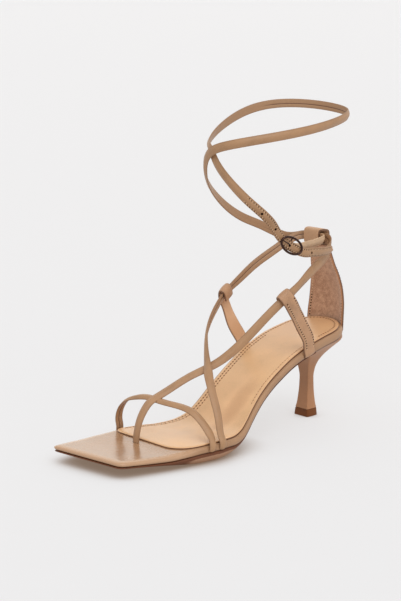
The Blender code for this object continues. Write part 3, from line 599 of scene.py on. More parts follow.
brown_thread = hide_finish("brown thread", (200, 154, 114), **THREAD)[0]
sock_hole_shade = hide_finish("shade in the sock's holes", (126, 80, 52), **HOLE_SHADE_FINISH)[0]
heel_back = HEEL_CENTRE - HEEL_ROUND
for count, (inset, hole_shade_half, first, last) in enumerate(SOCK_SEAMS):
    line = drawn_in(sock_loop, inset)
    line = np.roll(line, -int(np.argmax(line[:, 0])), axis=0)
    walk = (line[:, 0] - heel_back) * np.where(line[:, 1] < 0.0, 1.0, -1.0)
    line = line[int(np.argmax(walk <= first)):int(np.argmax(walk < last))]
    line = np.column_stack((line, sock_top(*line.T)))
    slope = (sock_top(line[:, 0] + 1, line[:, 1]) - sock_top(line[:, 0] - 1, line[:, 1])) / 2
    rise = np.column_stack((-slope, np.zeros(len(line)), np.ones(len(line))))
    stitch_rows(f"sock_stitches_{count}", [(line, rise)], brown_thread, sock_hole_shade, SOCK_PITCH, hole_shade_half)

# Heel
# A moulded block, waisted and flared, covered in leather that is glued on and seamed at the breast's
# corners. It is screwed to the heel seat through the footbed.
LIFT_TOP = 5.4
# Height, front and back of the section, half width, and share of the seat's outline
HEEL_ROWS = (
    (LIFT_TOP + GAP, 5.6, -5.6, 6.2, 0.0),
    (9.0, 4.9, -5.0, 5.5, 0.0),
    (15.0, 4.2, -4.3, 4.9, 0.0),
    (22.0, 3.6, -3.8, 4.5, 0.0),
    (29.0, 3.4, -3.6, 4.4, 0.0),
    (35.0, 4.0, -4.4, 5.1, 0.0),
    (40.0, 5.2, -6.2, 6.6, 0.0),
    (44.5, 7.2, -9.2, 9.0, 0.04),
    (48.5, 9.8, -13.0, 12.4, 0.12),
    (52.0, 13.0, -17.5, 16.6, 0.3),
    (54.0, 16.0, -21.5, 20.5, 0.6),
    (56.0, 19.0, -24.5, 24.0, 1.0),
)
HEEL_STEP = 0.8
# Half of the outline of every level: count, share of its depth and of its half width
HEEL_RING = (
    (0.0, 1.0, 0.0), (1.0, 1.0, 0.5), (2.0, 1.0, 0.92), (3.0, 0.86, 1.0), (4.0, 0.55, 1.0),
    (5.0, 0.25, 0.97), (6.0, 0.08, 0.86), (7.0, 0.0, 0.5), (8.0, 0.0, 0.0),
)
RING_POINTS = 65
SEAT_FRONT = 19.0
SEAT_SIDE = 13.0
SEAT_CORNER = 1.0
SEAT_INSET = 0.6
SEAT_CAPS = (0.97, 0.62, 0.28)
HEEL_CREASE = math.radians(50.0)


def heel_ring(height, front, back, half, seat):
    """Outline of the heel at one level, between its own section and that of the seat."""
    width = -plan_edges(HEEL_CENTRE, SEAT_INSET)[0][0]
    last = HEEL_RING[-1][0]
    count = np.linspace(0.0, last, RING_POINTS)
    depth, wide = read_table(HEEL_RING, count).T
    turn = math.pi * count / last
    reach = HEEL_ROUND - SEAT_INSET
    seat_x = np.interp(count, (0, 2, 3, 4), (SEAT_FRONT, SEAT_FRONT, SEAT_SIDE, HEEL_CENTRE))
    seat_y = np.interp(count, (0, 1, 2, 3), (0.0, width / 2, width - SEAT_CORNER, width))
    behind = count > last / 2
    seat_x = np.where(behind, HEEL_CENTRE + reach * np.cos(turn), seat_x)
    seat_y = np.where(behind, reach * np.sin(turn), seat_y)
    x = (1 - seat) * (back + (front - back) * depth) + seat * seat_x
    y = (1 - seat) * half * wide + seat * seat_y
    z = (1 - seat) * height + seat * sole_top(x)
    side = np.column_stack((x, y, z))
    return np.vstack((side, (side * (1, -1, 1))[-2:0:-1]))


levels = np.arange(HEEL_ROWS[0][0], HEEL_ROWS[-1][0], HEEL_STEP)
heel_rings = [heel_ring(h, *row) for h, row in zip(levels, read_table(HEEL_ROWS, levels))]
heel_rings.append(heel_ring(*HEEL_ROWS[-1]))
seat_ring = heel_rings[-1]
for share in SEAT_CAPS:
    cap = seat_ring * (share, share, 1.0)
    cap[:, 2] = sole_top(cap[:, 0])
    heel_rings.append(cap)
heel = skin("heel_cover", heel_rings)
heel.data.set_sharp_from_angle(angle=HEEL_CREASE)
heel_leather = hide_finish(
    "heel leather", (170, 120, 83), cloud=16.0, amount=0.5, pebble=0.5, rough=(0.38, 0.5), depth=0.04,
    Specular_IOR_Level=0.35,
)[0]
dress(heel, heel_leather, "heel_leather", "heel")

# Top lift
# A hard rubber tip, dark brown, pressed into the heel's end with a dowel. Its edge is slightly
# rounded and its tread face is flat on the floor.
LIFT_ROWS = ((0.0, 6.0, -6.0, 6.8, 0.0), (LIFT_TOP, 5.65, -5.65, 6.25, 0.0))
# Height, and share of the section's size
LIFT_EDGE = (
    (0.0, 0.94), (0.12, 0.985), (0.4, 1.0), (2.0, 1.0), (4.0, 1.0), (5.0, 0.995), (LIFT_TOP, 0.97),
)

lift_rings = []
for height, share in LIFT_EDGE:
    ring = heel_ring(height, *read_table(LIFT_ROWS, height)[0])
    lift_rings.append(ring * (share, share, 1.0))
top_lift = skin("heel_tip", lift_rings)
top_lift.data.set_sharp_from_angle(angle=HEEL_CREASE)
lift_rubber = hide_finish(
    "lift rubber", (110, 62, 26), cloud=5.0, amount=0.6, pebble=0.35, pores=0.5, rough=(0.36, 0.5),
    depth=0.03, Specular_IOR_Level=0.2,
)[0]
dress(top_lift, lift_rubber, "lift_rubber", "top_lift")

# Counter
# The back stay of the sandal: an outer leather and a suede lining, stitched together along both free
# edges. The outer leather is folded over at the top into a tunnel for the straps.
COUNTER_THICK = 1.8
COUNTER_STEPS = 48
# Height, back of the wall along the shoe, radius round the heel, half width, lean of its middle
COUNTER_ROWS = (
    (60.0, -24.6, 25.6, 19.5, 0.0),
    (72.0, -25.0, 25.8, 19.2, 0.0),
    (82.0, -25.4, 26.0, 18.4, 0.0),
    (92.0, -24.6, 26.4, 17.0, -0.2),
    (102.0, -22.2, 28.0, 14.6, -0.8),
    (112.0, -18.2, 36.0, 11.8, -1.6),
    (120.0, -15.6, 90.0, 10.0, -2.2),
    (126.0, -14.2, 400.0, 9.2, -2.5),
    (140.0, -14.0, 400.0, 9.0, -2.5),
)
COUNTER_FOOT = 63.2
COUNTER_TOP = 125.0
COUNTER_STEP = 1.2
TUNNEL_DEEP = 6.5
# Distance in from the wall's middle, and height
TUNNEL_ROWS = (
    (0.0, 130.0), (0.0, 134.6), (0.5, 135.8), (1.6, 136.2), (4.9, 136.2), (6.0, 135.8),
    (TUNNEL_DEEP, 134.6), (TUNNEL_DEEP, 128.2), (6.0, 126.9), (4.8, 126.3), (1.25, 126.2),
)
TUNNEL_STEP = 0.5
ROUTE_STEP = 0.1
# Half width that the free edges are reckoned with, how they are rounded, and the rings with the cut edge
COUNTER_HALF = 18.0
EDGE_ROUND = 0.7
EDGE_STEPS = 5
EDGE_LEAST = 0.25
CUT_RINGS = 3
LINING_INSET = 0.35
MOUTH_CUT = 0.4
# Stitching: from above the foot to below the top, how far in, and its points
COUNTER_STITCHED = (6.0, 2.0)
COUNTER_STITCH_IN = 1.8
COUNTER_STITCH_POINTS = 60
JUST_OUTSIDE = 1.1


def counter_point(along, height, inward):
    """Points of the counter: share of its half width, height, and distance in from its middle."""
    back, radius, half, lean = read_table(COUNTER_ROWS, height).T
    angle = along * half / radius
    reach = radius - inward
    x = back + radius - reach * np.cos(angle)
    return np.column_stack((x, lean + reach * np.sin(angle), height))


def smooth_route(rows, step):
    """Close-set rows on a smooth curve through the given rows."""
    rows = np.array(rows, float)
    gap = np.linalg.norm(np.diff(rows[:, :3], axis=0), axis=1)
    knot = np.concatenate(([0.0], np.cumsum(gap)))
    rise = np.diff(rows, axis=0) / gap[:, None]
    system = np.eye(len(knot))
    bend = np.zeros_like(rows)
    for i in range(1, len(knot) - 1):
        system[i, i - 1:i + 2] = gap[i - 1], 2 * (gap[i - 1] + gap[i]), gap[i]
        bend[i] = 6 * (rise[i] - rise[i - 1])
    bend = np.linalg.solve(system, bend)
    at = np.linspace(0.0, knot[-1], math.ceil(knot[-1] / step) + 1)
    i = np.clip(np.searchsorted(knot, at) - 1, 0, len(gap) - 1)
    a, b, h = (knot[i + 1] - at)[:, None], (at - knot[i])[:, None], gap[i][:, None]
    curve = (bend[i] * a ** 3 + bend[i + 1] * b ** 3) / (6 * h)
    return curve + (rows[i] / h - bend[i] * h / 6) * a + (rows[i + 1] / h - bend[i + 1] * h / 6) * b


def wall_outline(path, outward, inward):
    """Front and back line of a wall along a path of (inward, height)."""
    run = unit_rows(np.gradient(path, axis=0))
    side = np.column_stack((run[:, 1], -run[:, 0]))
    front = path + side * np.broadcast_to(inward, len(path))[:, None]
    back = path + side * np.broadcast_to(outward, len(path))[:, None]
    return front, back


def counter_rings(path, outward, inward, inset):
    """Rings of a wall round the heel along its path, rounded at its two free edges, and their cut ends."""
    folded = np.clip(np.maximum.accumulate(path[:, 0]) / TUNNEL_DEEP, 0.0, 1.0)
    short = 1 - MOUTH_CUT * np.concatenate((folded, folded[::-1]))
    ease = np.linspace(0.0, 1.0, EDGE_STEPS)
    near = EDGE_ROUND / COUNTER_HALF * (1 - np.cos(ease * math.pi / 2))
    reach = 1 - inset / COUNTER_HALF
    ends = near - reach
    middle = np.linspace(ends[-1], -ends[-1], COUNTER_STEPS)[1:-1]
    centre, half = (outward + inward) / 2, (inward - outward) / 2
    rings = []
    for along in np.concatenate((ends, middle, -ends[::-1])):
        left = min((reach - abs(along)) * COUNTER_HALF / EDGE_ROUND, 1.0)
        swell = EDGE_LEAST + (1 - EDGE_LEAST) * math.sqrt(max(1 - (1 - left) ** 2, 0.0))
        front, back = wall_outline(path, centre - half * swell, centre + half * swell)
        outline = np.vstack((front, back[::-1]))
        rings.append(counter_point(along * short if along > 0 else along, outline[:, 1], outline[:, 0]))
    cut = np.zeros((len(rings), 1))
    cut[:CUT_RINGS] = cut[-CUT_RINGS:] = 1.0
    return np.array(rings), {"cut": cut}


half_thick = COUNTER_THICK / 2
wall_count = round((COUNTER_TOP - COUNTER_FOOT) / COUNTER_STEP)
wall_heights = np.linspace(COUNTER_FOOT, COUNTER_TOP, wall_count)
wall = np.column_stack((np.zeros_like(wall_heights), wall_heights))
fold = smooth_route([(*row, 0.0) for row in TUNNEL_ROWS], ROUTE_STEP)[:, :2]
outer_path = np.vstack((wall, even_steps(fold, TUNNEL_STEP)))
inner_side = np.where(np.arange(len(outer_path)) < len(wall), 0.0, half_thick)
counter = skin("counter_cover", *counter_rings(outer_path, -half_thick, inner_side, 0.0))
lining = skin("counter_lining", *counter_rings(wall, 0.0, half_thick, LINING_INSET))

counter_leather, tree, shader, (colour, cloud, gloss) = hide_finish(
    "counter leather", (186, 145, 109), cloud=12.0, amount=0.5, pebble=0.5, rough=(0.42, 0.55), depth=0.05,
    Specular_IOR_Level=0.45,
)
join(tree, shader, {"Base Color": blend(tree, mark_of(tree, "cut"), colour, tint(116, 84, 62))})
dress(counter, counter_leather, "counter_leather", "counter")

# Brushed nap: short fibres that lie in patches
tree, given, out = effect(
    "suede nap", {"Colour": "Color", "Brushed": "Color"}, {"Colour": "Color", "Height": "Float"}
)
suede_nap = tree
patch = noise(tree, scale=320.0, detail=6.0, roughness=0.75)
fibre = noise(tree, scale=2600.0, detail=3.0, roughness=0.7)
lie = sums(tree, "MULTIPLY_ADD", fibre, 0.5, sums(tree, "MULTIPLY", patch, 0.5))
napped = blend(tree, spread(tree, lie, 0.38, 0.62), given["Brushed"], given["Colour"])
join(tree, out, {"Colour": napped, "Height": lie})

suede, tree, shader = finish_of("lining suede", Specular_IOR_Level=0.15, Sheen_Weight=0.35)
nap = placed(tree, suede_nap, colour=tint(206, 164, 133), brushed=tint(160, 117, 90))
colour = blend(tree, mark_of(tree, "cut"), nap["Colour"], tint(178, 122, 84))
gloss = spread(tree, nap["Height"], *CLOUD_SPAN, 0.85, 0.95)
shade(tree, shader, colour, gloss, nap["Height"], depth=0.12)
dress(lining, suede, "counter_leather")

edge_seams = []
seam_heights = np.linspace(
    COUNTER_FOOT + COUNTER_STITCHED[0], COUNTER_TOP - COUNTER_STITCHED[1], COUNTER_STITCH_POINTS
)
half = read_table(COUNTER_ROWS, seam_heights)[:, 2]
for along in (-1.0, 1.0):
    share = along * (1 - COUNTER_STITCH_IN / half)
    for inward in (-half_thick, half_thick):
        line = counter_point(share, seam_heights, inward)
        ahead = counter_point(share, seam_heights, inward * JUST_OUTSIDE)
        edge_seams.append((line, ahead - line))
pale_thread = hide_finish("pale thread", (216, 180, 143), **THREAD)[0]
hole_shade = hide_finish("hole shade", (66, 40, 26), **HOLE_SHADE_FINISH)[0]
stitch_rows("counter_stitches", edge_seams, pale_thread, hole_shade)

# Toe strap, thong strap and instep strap
# Narrow straps folded from thin leather over a flat cord, with the seam on the side to the foot. Their
# ends run under the footbed, and they are cemented to each other where they cross.
STRAP_WIDTH = 6.2
STRAP_THICK = 1.8
STRAP_EDGE = 0.9
STRAP_CROWN = 0.75
SEAM_PLACE = 0.35
SEAM_DEPTH = 0.3
SEAM_HALF = 0.4
SEAM_FLANK = 1.2
SECTION_POINTS = 9
INNER_FROM = 0.4
END_LEAST = 0.12
STRAP_RING_STEP = 1.0
FINE_STEP = 0.25
TUCK_DEPTH = 4.5
TUCK_ROUND = 2.2
TUCK_RISE = 4.6
TUCK_ARC = (0.0, 30.0, 60.0, 90.0)
FOOT_LINE = (
    (140.0, -3.0, 17.0), (115.0, 0.0, 30.0), (80.0, 0.0, 55.0),
    (45.0, 0.0, 95.0), (33.0, 0.0, 135.0), (33.0, 0.0, 240.0),
)
TUNNEL_HEIGHT = 131.2
TUNNEL_BACK_LAYER = -11.9
TUNNEL_FRONT_LAYER = -9.75
# Rows of the straps: place and, where it isn't away from the foot, the way that the outer face looks
TOE_STRAP_ENDS = (146.2, 132.2)
TOE_STRAP_ROWS = (
    (146.1, -39.4, 15.8, 0.0, -1.0, 0.1), (145.8, -38.4, 23.5, 0.05, -0.92, 0.38),
    (144.9, -33.0, 30.8, 0.15, -0.58, 0.8), (143.1, -23.0, 35.3, 0.39, -0.17, 0.9),
    (140.7, -12.7, 36.5, 0.3, 0.05, 0.95), (139.1, -5.2, 35.6, 0.26, 0.14, 0.96),
    (136.3, 8.3, 34.7, 0.27, 0.18, 0.94), (133.2, 22.7, 31.9, 0.2, 0.42, 0.88),
    (131.1, 32.0, 24.4, 0.1, 0.7, 0.7), (131.5, 39.8, 16.4),
)
THONG_ROWS = (
    (159.9, -5.0, 11.0, 0.98, 0.0, 0.2), (158.4, -5.4, 18.5, 0.95, 0.0, 0.3),
    (155.2, -6.3, 25.0, 0.84, 0.07, 0.54), (150.4, -7.0, 31.0, 0.68, 0.16, 0.71),
    (144.6, -7.5, 35.4, 0.46, 0.26, 0.85), (138.8, -7.6, 37.4, 0.36, 0.35, 0.87),
    (129.9, -6.1, 41.0, 0.5, 0.33, 0.8), (114.6, 0.8, 49.8, 0.55, 0.31, 0.77),
    (100.1, 8.1, 56.4), (81.2, 17.8, 71.8), (62.8, 26.0, 90.7), (53.0, 29.1, 98.8),
    (39.5, 28.6, 105.8), (25.0, 25.2, 112.4, 0.0, 1.0, 0.3), (9.0, 19.8, 117.4, -0.1, 0.85, 0.5),
    (-1.7, 15.0, 120.8, -0.15, 0.8, 0.55), (-7.4, 13.0, 124.4, -0.5, 0.8, 0.3),
    (-10.8, 10.8, 128.4, -0.95, 0.3, 0.0), (-11.9, 8.0, 130.9, -1.0, 0.0, 0.0),
)
THONG_IN_TUNNEL = (4.6, 1.0, -2.5)
INSTEP_STRAP_END = 123.6
INSTEP_STRAP_ROWS = (
    (123.6, 40.7, 16.6), (121.8, 35.8, 26.9), (118.5, 27.5, 39.4), (112.7, 16.4, 50.3),
    (105.2, 5.9, 57.5, 0.81, -0.18, 0.59), (96.6, -4.7, 65.8, 0.81, -0.49, 0.32),
    (84.8, -14.9, 77.3, 0.57, -0.82, 0.04), (68.2, -23.3, 88.4, 0.41, -0.91, 0.0),
    (55.9, -28.2, 94.7), (40.0, -30.6, 102.2), (24.5, -29.8, 111.5), (10.8, -24.9, 120.3),
    (2.0, -20.6, 126.4), (-5.2, -16.6, 130.2), (-9.2, -13.0, 131.2),
)
INSTEP_IN_TUNNEL = (-9.6, -6.0, -2.5)


def unit(vector):
    """A vector of length one."""
    return np.array(vector, float) / np.linalg.norm(vector)


def away_from_foot(point):
    """Direction from the nearest place on the foot's own line to a point."""
    point = np.array(point, float)
    nearest = np.array(FOOT_LINE[0])
    for start, end in zip(FOOT_LINE, FOOT_LINE[1:]):
        start, end = np.array(start), np.array(end)
        run = end - start
        place = start + np.clip((point - start) @ run / (run @ run), 0.0, 1.0) * run
        if np.linalg.norm(point - place) < np.linalg.norm(point - nearest):
            nearest = place
    return unit(point - nearest)


def facing(points, face=None):
    """Route rows with the way the outer face looks: given for a place or for all, or away from the foot."""
    rows = []
    for point in points:
        way = point[3:] if len(point) > 3 else face
        rows.append((*point[:3], *(away_from_foot(point[:3]) if way is None else unit(way))))
    return rows


def in_tunnel(layer_place, across):
    """Places of a strap inside the counter's tunnel."""
    return tuple((layer_place, y, TUNNEL_HEIGHT) for y in across)


def tuck(station, side):
    """Route rows of a strap's end, from under the footbed round its edge and up."""
    inner, outer = plan_edges(station)
    reach = (outer[0] if side > 0 else -inner[0]) + STRAP_THICK / 2 + GAP
    low, middle, high = board_bottom((station - 1, station, station + 1), side * reach)
    up = unit((-(high - low) / 2, 0.0, 1.0))
    out = np.array((0.0, side, 0.0))
    foot = np.array((station, 0.0, middle)) + up * STRAP_THICK / 2
    rows = [(*(foot + out * (reach - TUCK_DEPTH - TUCK_ROUND)), *-up)]
    for angle in TUCK_ARC:
        wide, deep = math.sin(math.radians(angle)), math.cos(math.radians(angle))
        place = foot + out * (reach - TUCK_ROUND * (1 - wide)) + up * TUCK_ROUND * (1 - deep)
        rows.append((*place, *(out * wide - up * deep)))
    rows.append((*(foot + out * reach + up * TUCK_RISE), *out))
    return rows


def strap_frames(rows):
    """Place, run, outer face and side of a strap at even steps."""
    fine = smooth_route(rows, FINE_STEP)
    place = fine[:, :3]
    run = unit_rows(np.gradient(place, axis=0))
    face = unit_rows(fine[:, 3:] - (fine[:, 3:] * run).sum(axis=1)[:, None] * run)
    return place, run, face, np.cross(run, face)


def strap_section(width, thick, crown, seam_open):
    """Outline of a strap across its run: across, outward, and marks for seam, edge and inner side."""
    half, flat = width / 2 - STRAP_EDGE, thick / 2
    points = []
    for share in np.linspace(1.0, -1.0, SECTION_POINTS):
        points.append((half * share, flat - crown * share * share, 0.0, 0.0, 0.0))
    turns = np.linspace(0.0, math.pi, SECTION_POINTS)[1:-1]
    deep = flat - crown / 2
    bulge = [(STRAP_EDGE * math.sin(t), deep * math.cos(t) - crown / 2, math.sin(t)) for t in turns]
    points += [(-half - a, b, 0.0, edge, float(b < -INNER_FROM * flat)) for a, b, edge in bulge]
    near_seam = (-SEAM_FLANK, -SEAM_HALF, 0.0, SEAM_HALF, SEAM_FLANK)
    for a in (-half, *(SEAM_PLACE + step for step in near_seam), half):
        groove = seam_open * (a == SEAM_PLACE)
        points.append((a, -flat + SEAM_DEPTH * groove, groove, 0.0, 1.0))
    points += [(half + a, b, 0.0, edge, float(b < -INNER_FROM * flat)) for a, b, edge in bulge[::-1]]
    return np.array(points)


def strap(name, rows, width=((0.0, STRAP_WIDTH),), crown=STRAP_CROWN, round_end=False, seam=((0.0, 1.0),)):
    """Strap along its route, with the edges and how open the seam is marked for its material.

    Width and seam are rows of a distance along the strap and the value there.
    """
    place, run, face, side = strap_frames(rows)
    last = len(place) - 1
    keep = np.unique(np.append(np.arange(0, last, round(STRAP_RING_STEP / FINE_STEP)), last))
    left = (last - keep) * FINE_STEP
    rings = []
    sections = []
    for i, rest in zip(keep, left):
        wide, open_seam = (np.interp(i * FINE_STEP, *zip(*along)) for along in (width, seam))
        section = strap_section(wide, STRAP_THICK, crown, open_seam)
        sections.append(section)
        narrow = 1.0
        if round_end and rest < wide / 2:
            narrow = max(math.sqrt(1 - (1 - rest * 2 / wide) ** 2), END_LEAST)
        across = section[:, :1] * narrow
        rings.append(place[i] + across * side[i] + section[:, 1:2] * face[i])
    sections = np.array(sections)
    marks = {"seam": sections[:, :, 2], "edge": sections[:, :, 3], "inner": sections[:, :, 4]}
    return skin(name, rings, marks)


# Folded strap: the outer leather, the darker turned edge, the side to the foot and its seam
tree, given, out = effect(
    "strap faces",
    {"Outer": "Color", "Inner": "Color", "Edge": "Color", "Seam": "Color", "Edge Amount": "Float"},
    {"Colour": "Color"},
)
strap_faces = tree
faced = blend(tree, mark_of(tree, "inner"), given["Outer"], given["Inner"])
edge = sums(tree, "MULTIPLY", mark_of(tree, "edge"), given["Edge Amount"])
turned = blend(tree, edge, faced, given["Edge"])
sewn = spread(tree, mark_of(tree, "seam"), 0.1, 0.75)
join(tree, out, {"Colour": blend(tree, sewn, turned, given["Seam"])})


def strap_finish(name, outer, inner, edge, pebble, depth, rough, mottle=0.5, edge_amount=0.4):
    """Leather of a strap: its outer side, the side to the foot and its edge in their own tones."""
    material, tree, shader, (colour, cloud, gloss) = hide_finish(
        name, outer, cloud=10.0, amount=mottle, pebble=pebble, rough=rough, depth=depth,
        Specular_IOR_Level=0.38,
    )
    tones = {"inner": tint(*inner), "edge": tint(*edge), "seam": tint(92, 58, 38)}
    faces = placed(tree, strap_faces, outer=colour, edge_amount=edge_amount, **tones)
    join(tree, shader, {"Base Color": faces["Colour"]})
    return material


strap_leather = strap_finish(
    "strap leather", outer=(168, 129, 94), inner=(164, 127, 95), edge=(124, 90, 64), pebble=0.45,
    depth=0.04, rough=(0.38, 0.5),
)
toe_route = tuck(TOE_STRAP_ENDS[0], -1) + facing(TOE_STRAP_ROWS) + tuck(TOE_STRAP_ENDS[1], 1)[::-1]
thong_route = facing(
    ((*THONG_SLOT, board_bottom(*THONG_SLOT)[0]),) + THONG_ROWS
    + in_tunnel(TUNNEL_BACK_LAYER, THONG_IN_TUNNEL)
)
instep_route = tuck(INSTEP_STRAP_END, 1) + facing(
    INSTEP_STRAP_ROWS + in_tunnel(TUNNEL_FRONT_LAYER, INSTEP_IN_TUNNEL)
)
for name, route in (("toe_strap", toe_route), ("thong_strap", thong_route), ("instep_strap", instep_route)):
    dress(strap(name, route), strap_leather, "strap_leather", "upper_straps")

# Stays
# Wider leather loops that hold the straps to the sole on both sides: lasted under the footbed, taken
# up and folded over the strap, and stitched along both edges. Their flesh side is left raw.
STAY_WIDTH = 10.6
STAY_CROWN = 0.35
# Name, side, start under the sole, strap that it holds, where it holds it, and its way up
STAYS = (
    ("lateral", 1, 27.8, thong_route, (53.0, 29.1, 98.8), (
        (31.4, 30.8, 66.2, 0.05, 1.0, 0.0), (36.2, 31.0, 74.2, 0.1, 1.0, 0.05),
        (42.2, 30.8, 84.0, 0.15, 1.0, 0.1),
    )),
    ("medial", -1, 38.5, instep_route, (55.9, -28.2, 94.7), (
        (42.4, -26.8, 61.0, 0.05, -1.0, 0.0), (46.4, -27.4, 67.2, 0.1, -1.0, 0.05),
        (50.2, -28.2, 74.4, 0.15, -1.0, 0.1),
    )),
)
STAY_LEG_IN = (9.0, 1.3)
STAY_BEND_FROM = 4.6
STAY_ARC = (0.0, 45.0, 90.0, 135.0, 180.0)
STAY_BEND = 2.1
STAY_END = (3.4, 0.5)
STAY_STITCH_IN = (2.3, 1.3)
STAY_STITCH_FROM = 12.0
STAY_STITCH_SHORT = 15.0


def stay_route(side, start, strap_rows, loop_place, way_up):
    """Route of a stay: tucked under the sole, up its side, round the strap and down inside."""
    place, run, face, across = strap_frames(strap_rows)
    at = int(np.argmin(np.linalg.norm(place - np.array(loop_place), axis=1)))
    middle, out, up = place[at], face[at], across[at] * math.copysign(1.0, across[at][2])
    apart = STRAP_THICK + 2 * GAP
    fold = [(-STAY_LEG_IN[0], STAY_LEG_IN[1], 0.0), (-STAY_BEND_FROM, apart, 0.0)]
    fold += [(STAY_BEND, apart, angle) for angle in STAY_ARC]
    fold.append((-STAY_END[0], apart + STAY_END[1], STAY_ARC[-1]))
    rows = tuck(start, side) + facing(way_up)
    for high, reach, angle in fold:
        rise, wide = math.sin(math.radians(angle)), math.cos(math.radians(angle))
        point = middle + up * (high + reach * rise) + out * reach * wide
        rows.append((*point, *(up * rise + out * wide)))
    return rows


def edge_seam_lines(rows, width, crown, insets, start, end):
    """Two lines along a strap's outer side for its stitching, between two distances along it."""
    place, run, face, side = strap_frames(rows)
    part = slice(round(start / FINE_STEP), round(end / FINE_STEP))
    lines = []
    for sign, inset in zip((-1.0, 1.0), insets):
        across = sign * (width / 2 - inset)
        share = across / (width / 2 - STRAP_EDGE)
        lift = STRAP_THICK / 2 - crown * share * share
        lines.append((place[part] + across * side[part] + lift * face[part], face[part]))
    return lines


stay_leather = strap_finish(
    "stay leather", outer=(180, 138, 104), inner=(212, 168, 130), edge=(98, 64, 44), pebble=0.8,
    depth=0.12, rough=(0.44, 0.56), mottle=0.9, edge_amount=0.85,
)
for name, *course in STAYS:
    route = stay_route(*course)
    stay = strap(f"{name}_stay", route, ((0.0, STAY_WIDTH),), STAY_CROWN, seam=((0.0, 0.0),))
    dress(stay, stay_leather, "strap_leather", f"stay_{name}")
    stitched = (STAY_STITCH_FROM, len(strap_frames(route)[0]) * FINE_STEP - STAY_STITCH_SHORT)
    seams = edge_seam_lines(route, STAY_WIDTH, STAY_CROWN, STAY_STITCH_IN, *stitched)
    stitch_rows(f"{name}_stay_stitches", seams, pale_thread, hole_shade)

# Ankle strap
# One long strap from the tunnel, twice round the leg and through the buckle. Its last part is lined,
# stitched along both edges and punched with holes for the prong.
ANKLE_CENTRE = (33.0, 0.0)
ANKLE_LONG = 60.0
ANKLE_WIDE = 36.0
# Turn in degrees from the front, height, and how far the strap stands off the oval round the leg
ANKLE_ROWS = (
    (240.0, 132.6, -5.0), (254.0, 139.0, -2.8), (268.0, 145.0, -1.2), (300.0, 165.2, 0.1),
    (328.0, 182.8, -0.2), (345.0, 195.0, 0.8), (360.0, 201.4, 1.3), (380.0, 205.6, 0.8),
    (410.0, 209.7, 0.3), (450.0, 214.5, 0.3), (485.0, 218.5, 0.0), (520.0, 221.4, 0.0),
    (560.0, 224.3, 0.0), (600.0, 225.7, 0.0), (623.0, 222.4, 0.0), (655.0, 211.8, -0.6),
    (672.0, 206.6, -1.4), (690.0, 203.0, -2.3), (708.0, 199.6, -2.3), (718.0, 193.6, -1.9),
    (737.0, 181.4, -0.8), (757.0, 167.0, 0.0), (773.0, 154.2, -0.4),
)
ANKLE_IN_TUNNEL = (-2.8, -7.0, -11.4)
ANKLE_LEAVES_TUNNEL = ((-10.4, -15.2, 130.7), (-6.4, -19.2, 129.8), (-1.0, -23.0, 129.9))
TAIL_ROWS = ((26.0, 29.6, 127.8), (12.0, 26.0, 126.1), (-3.0, 20.0, 124.9))
BUCKLE_MIDDLE = (50.0, 31.4, 135.5)
BUCKLE_ALONG = (-0.85, 0.2, -0.49)
BUCKLE_FACE = (0.25, 1.0, 0.0)
# The strap's run through the buckle: along it, across it and outward from the frame's middle plane
RUN_ROWS = (
    (-10.6, -1.9, -2.1), (-5.4, -0.2, -2.0), (0.0, 0.6, -1.6), (5.4, 0.6, -2.0), (10.6, 0.2, -2.1),
)
# How far open the seam is along the strap
ANKLE_SEAM = ((0.0, 1.0), (30.0, 1.0), (48.0, 0.2), (140.0, 0.2), (160.0, 1.0), (360.0, 1.0), (375.0, 0.0))
TAIL_WIDTH = 6.5
TAIL_WIDENS = (128.0, 108.0)
TAIL_STITCHED = 105.5
TAIL_STITCH_IN = (1.3, 1.3)
TAIL_END_BARE = 2.6
HOLES_FROM_END = (35.0, 75.0, 91.5)
PRONG_HOLE = (-1.0, 0.0, -1.6)
HOLE_HALF = 0.95
HOLE_SIDES = 20
HOLE_FLOOR = 0.5


def ankle_point(turn, height, stand_off):
    """Point of the ankle wrap."""
    angle = math.radians(turn)
    x = ANKLE_CENTRE[0] + (ANKLE_LONG + stand_off) * math.cos(angle)
    y = ANKLE_CENTRE[1] + (ANKLE_WIDE + stand_off) * math.sin(angle)
    return (x, y, height)


def buckle_axes():
    """The buckle's own directions: along the strap, across it and outward."""
    way = unit(BUCKLE_ALONG)
    out = unit(np.array(BUCKLE_FACE) - (np.array(BUCKLE_FACE) @ way) * way)
    return way, np.cross(way, out), out


def buckle_point(along, high, outward):
    """Point in the buckle's own directions."""
    way, across, out = buckle_axes()
    return np.array(BUCKLE_MIDDLE) + along * way + high * across + outward * out


wrap = tuple(ankle_point(*row) for row in ANKLE_ROWS)
ankle_route = facing(in_tunnel(TUNNEL_BACK_LAYER, ANKLE_IN_TUNNEL) + ANKLE_LEAVES_TUNNEL + wrap)
ankle_route += facing([buckle_point(*row) for row in RUN_ROWS], BUCKLE_FACE)
ankle_route += facing(TAIL_ROWS)
place, run, face, side = strap_frames(ankle_route)
ankle_length = (len(place) - 1) * FINE_STEP
ankle_width = [(ankle_length - rest, wide) for rest, wide in zip(TAIL_WIDENS, (STRAP_WIDTH, TAIL_WIDTH))]
ankle = strap("ankle_wrap", ankle_route, ankle_width, round_end=True, seam=ANKLE_SEAM)
dress(ankle, strap_leather, "strap_leather", "ankle_strap")
stitched = (ankle_length - TAIL_STITCHED, ankle_length - TAIL_END_BARE)
seams = edge_seam_lines(ankle_route, TAIL_WIDTH, STRAP_CROWN, TAIL_STITCH_IN, *stitched)
stitch_rows("ankle_wrap_stitches", seams, pale_thread, hole_shade)

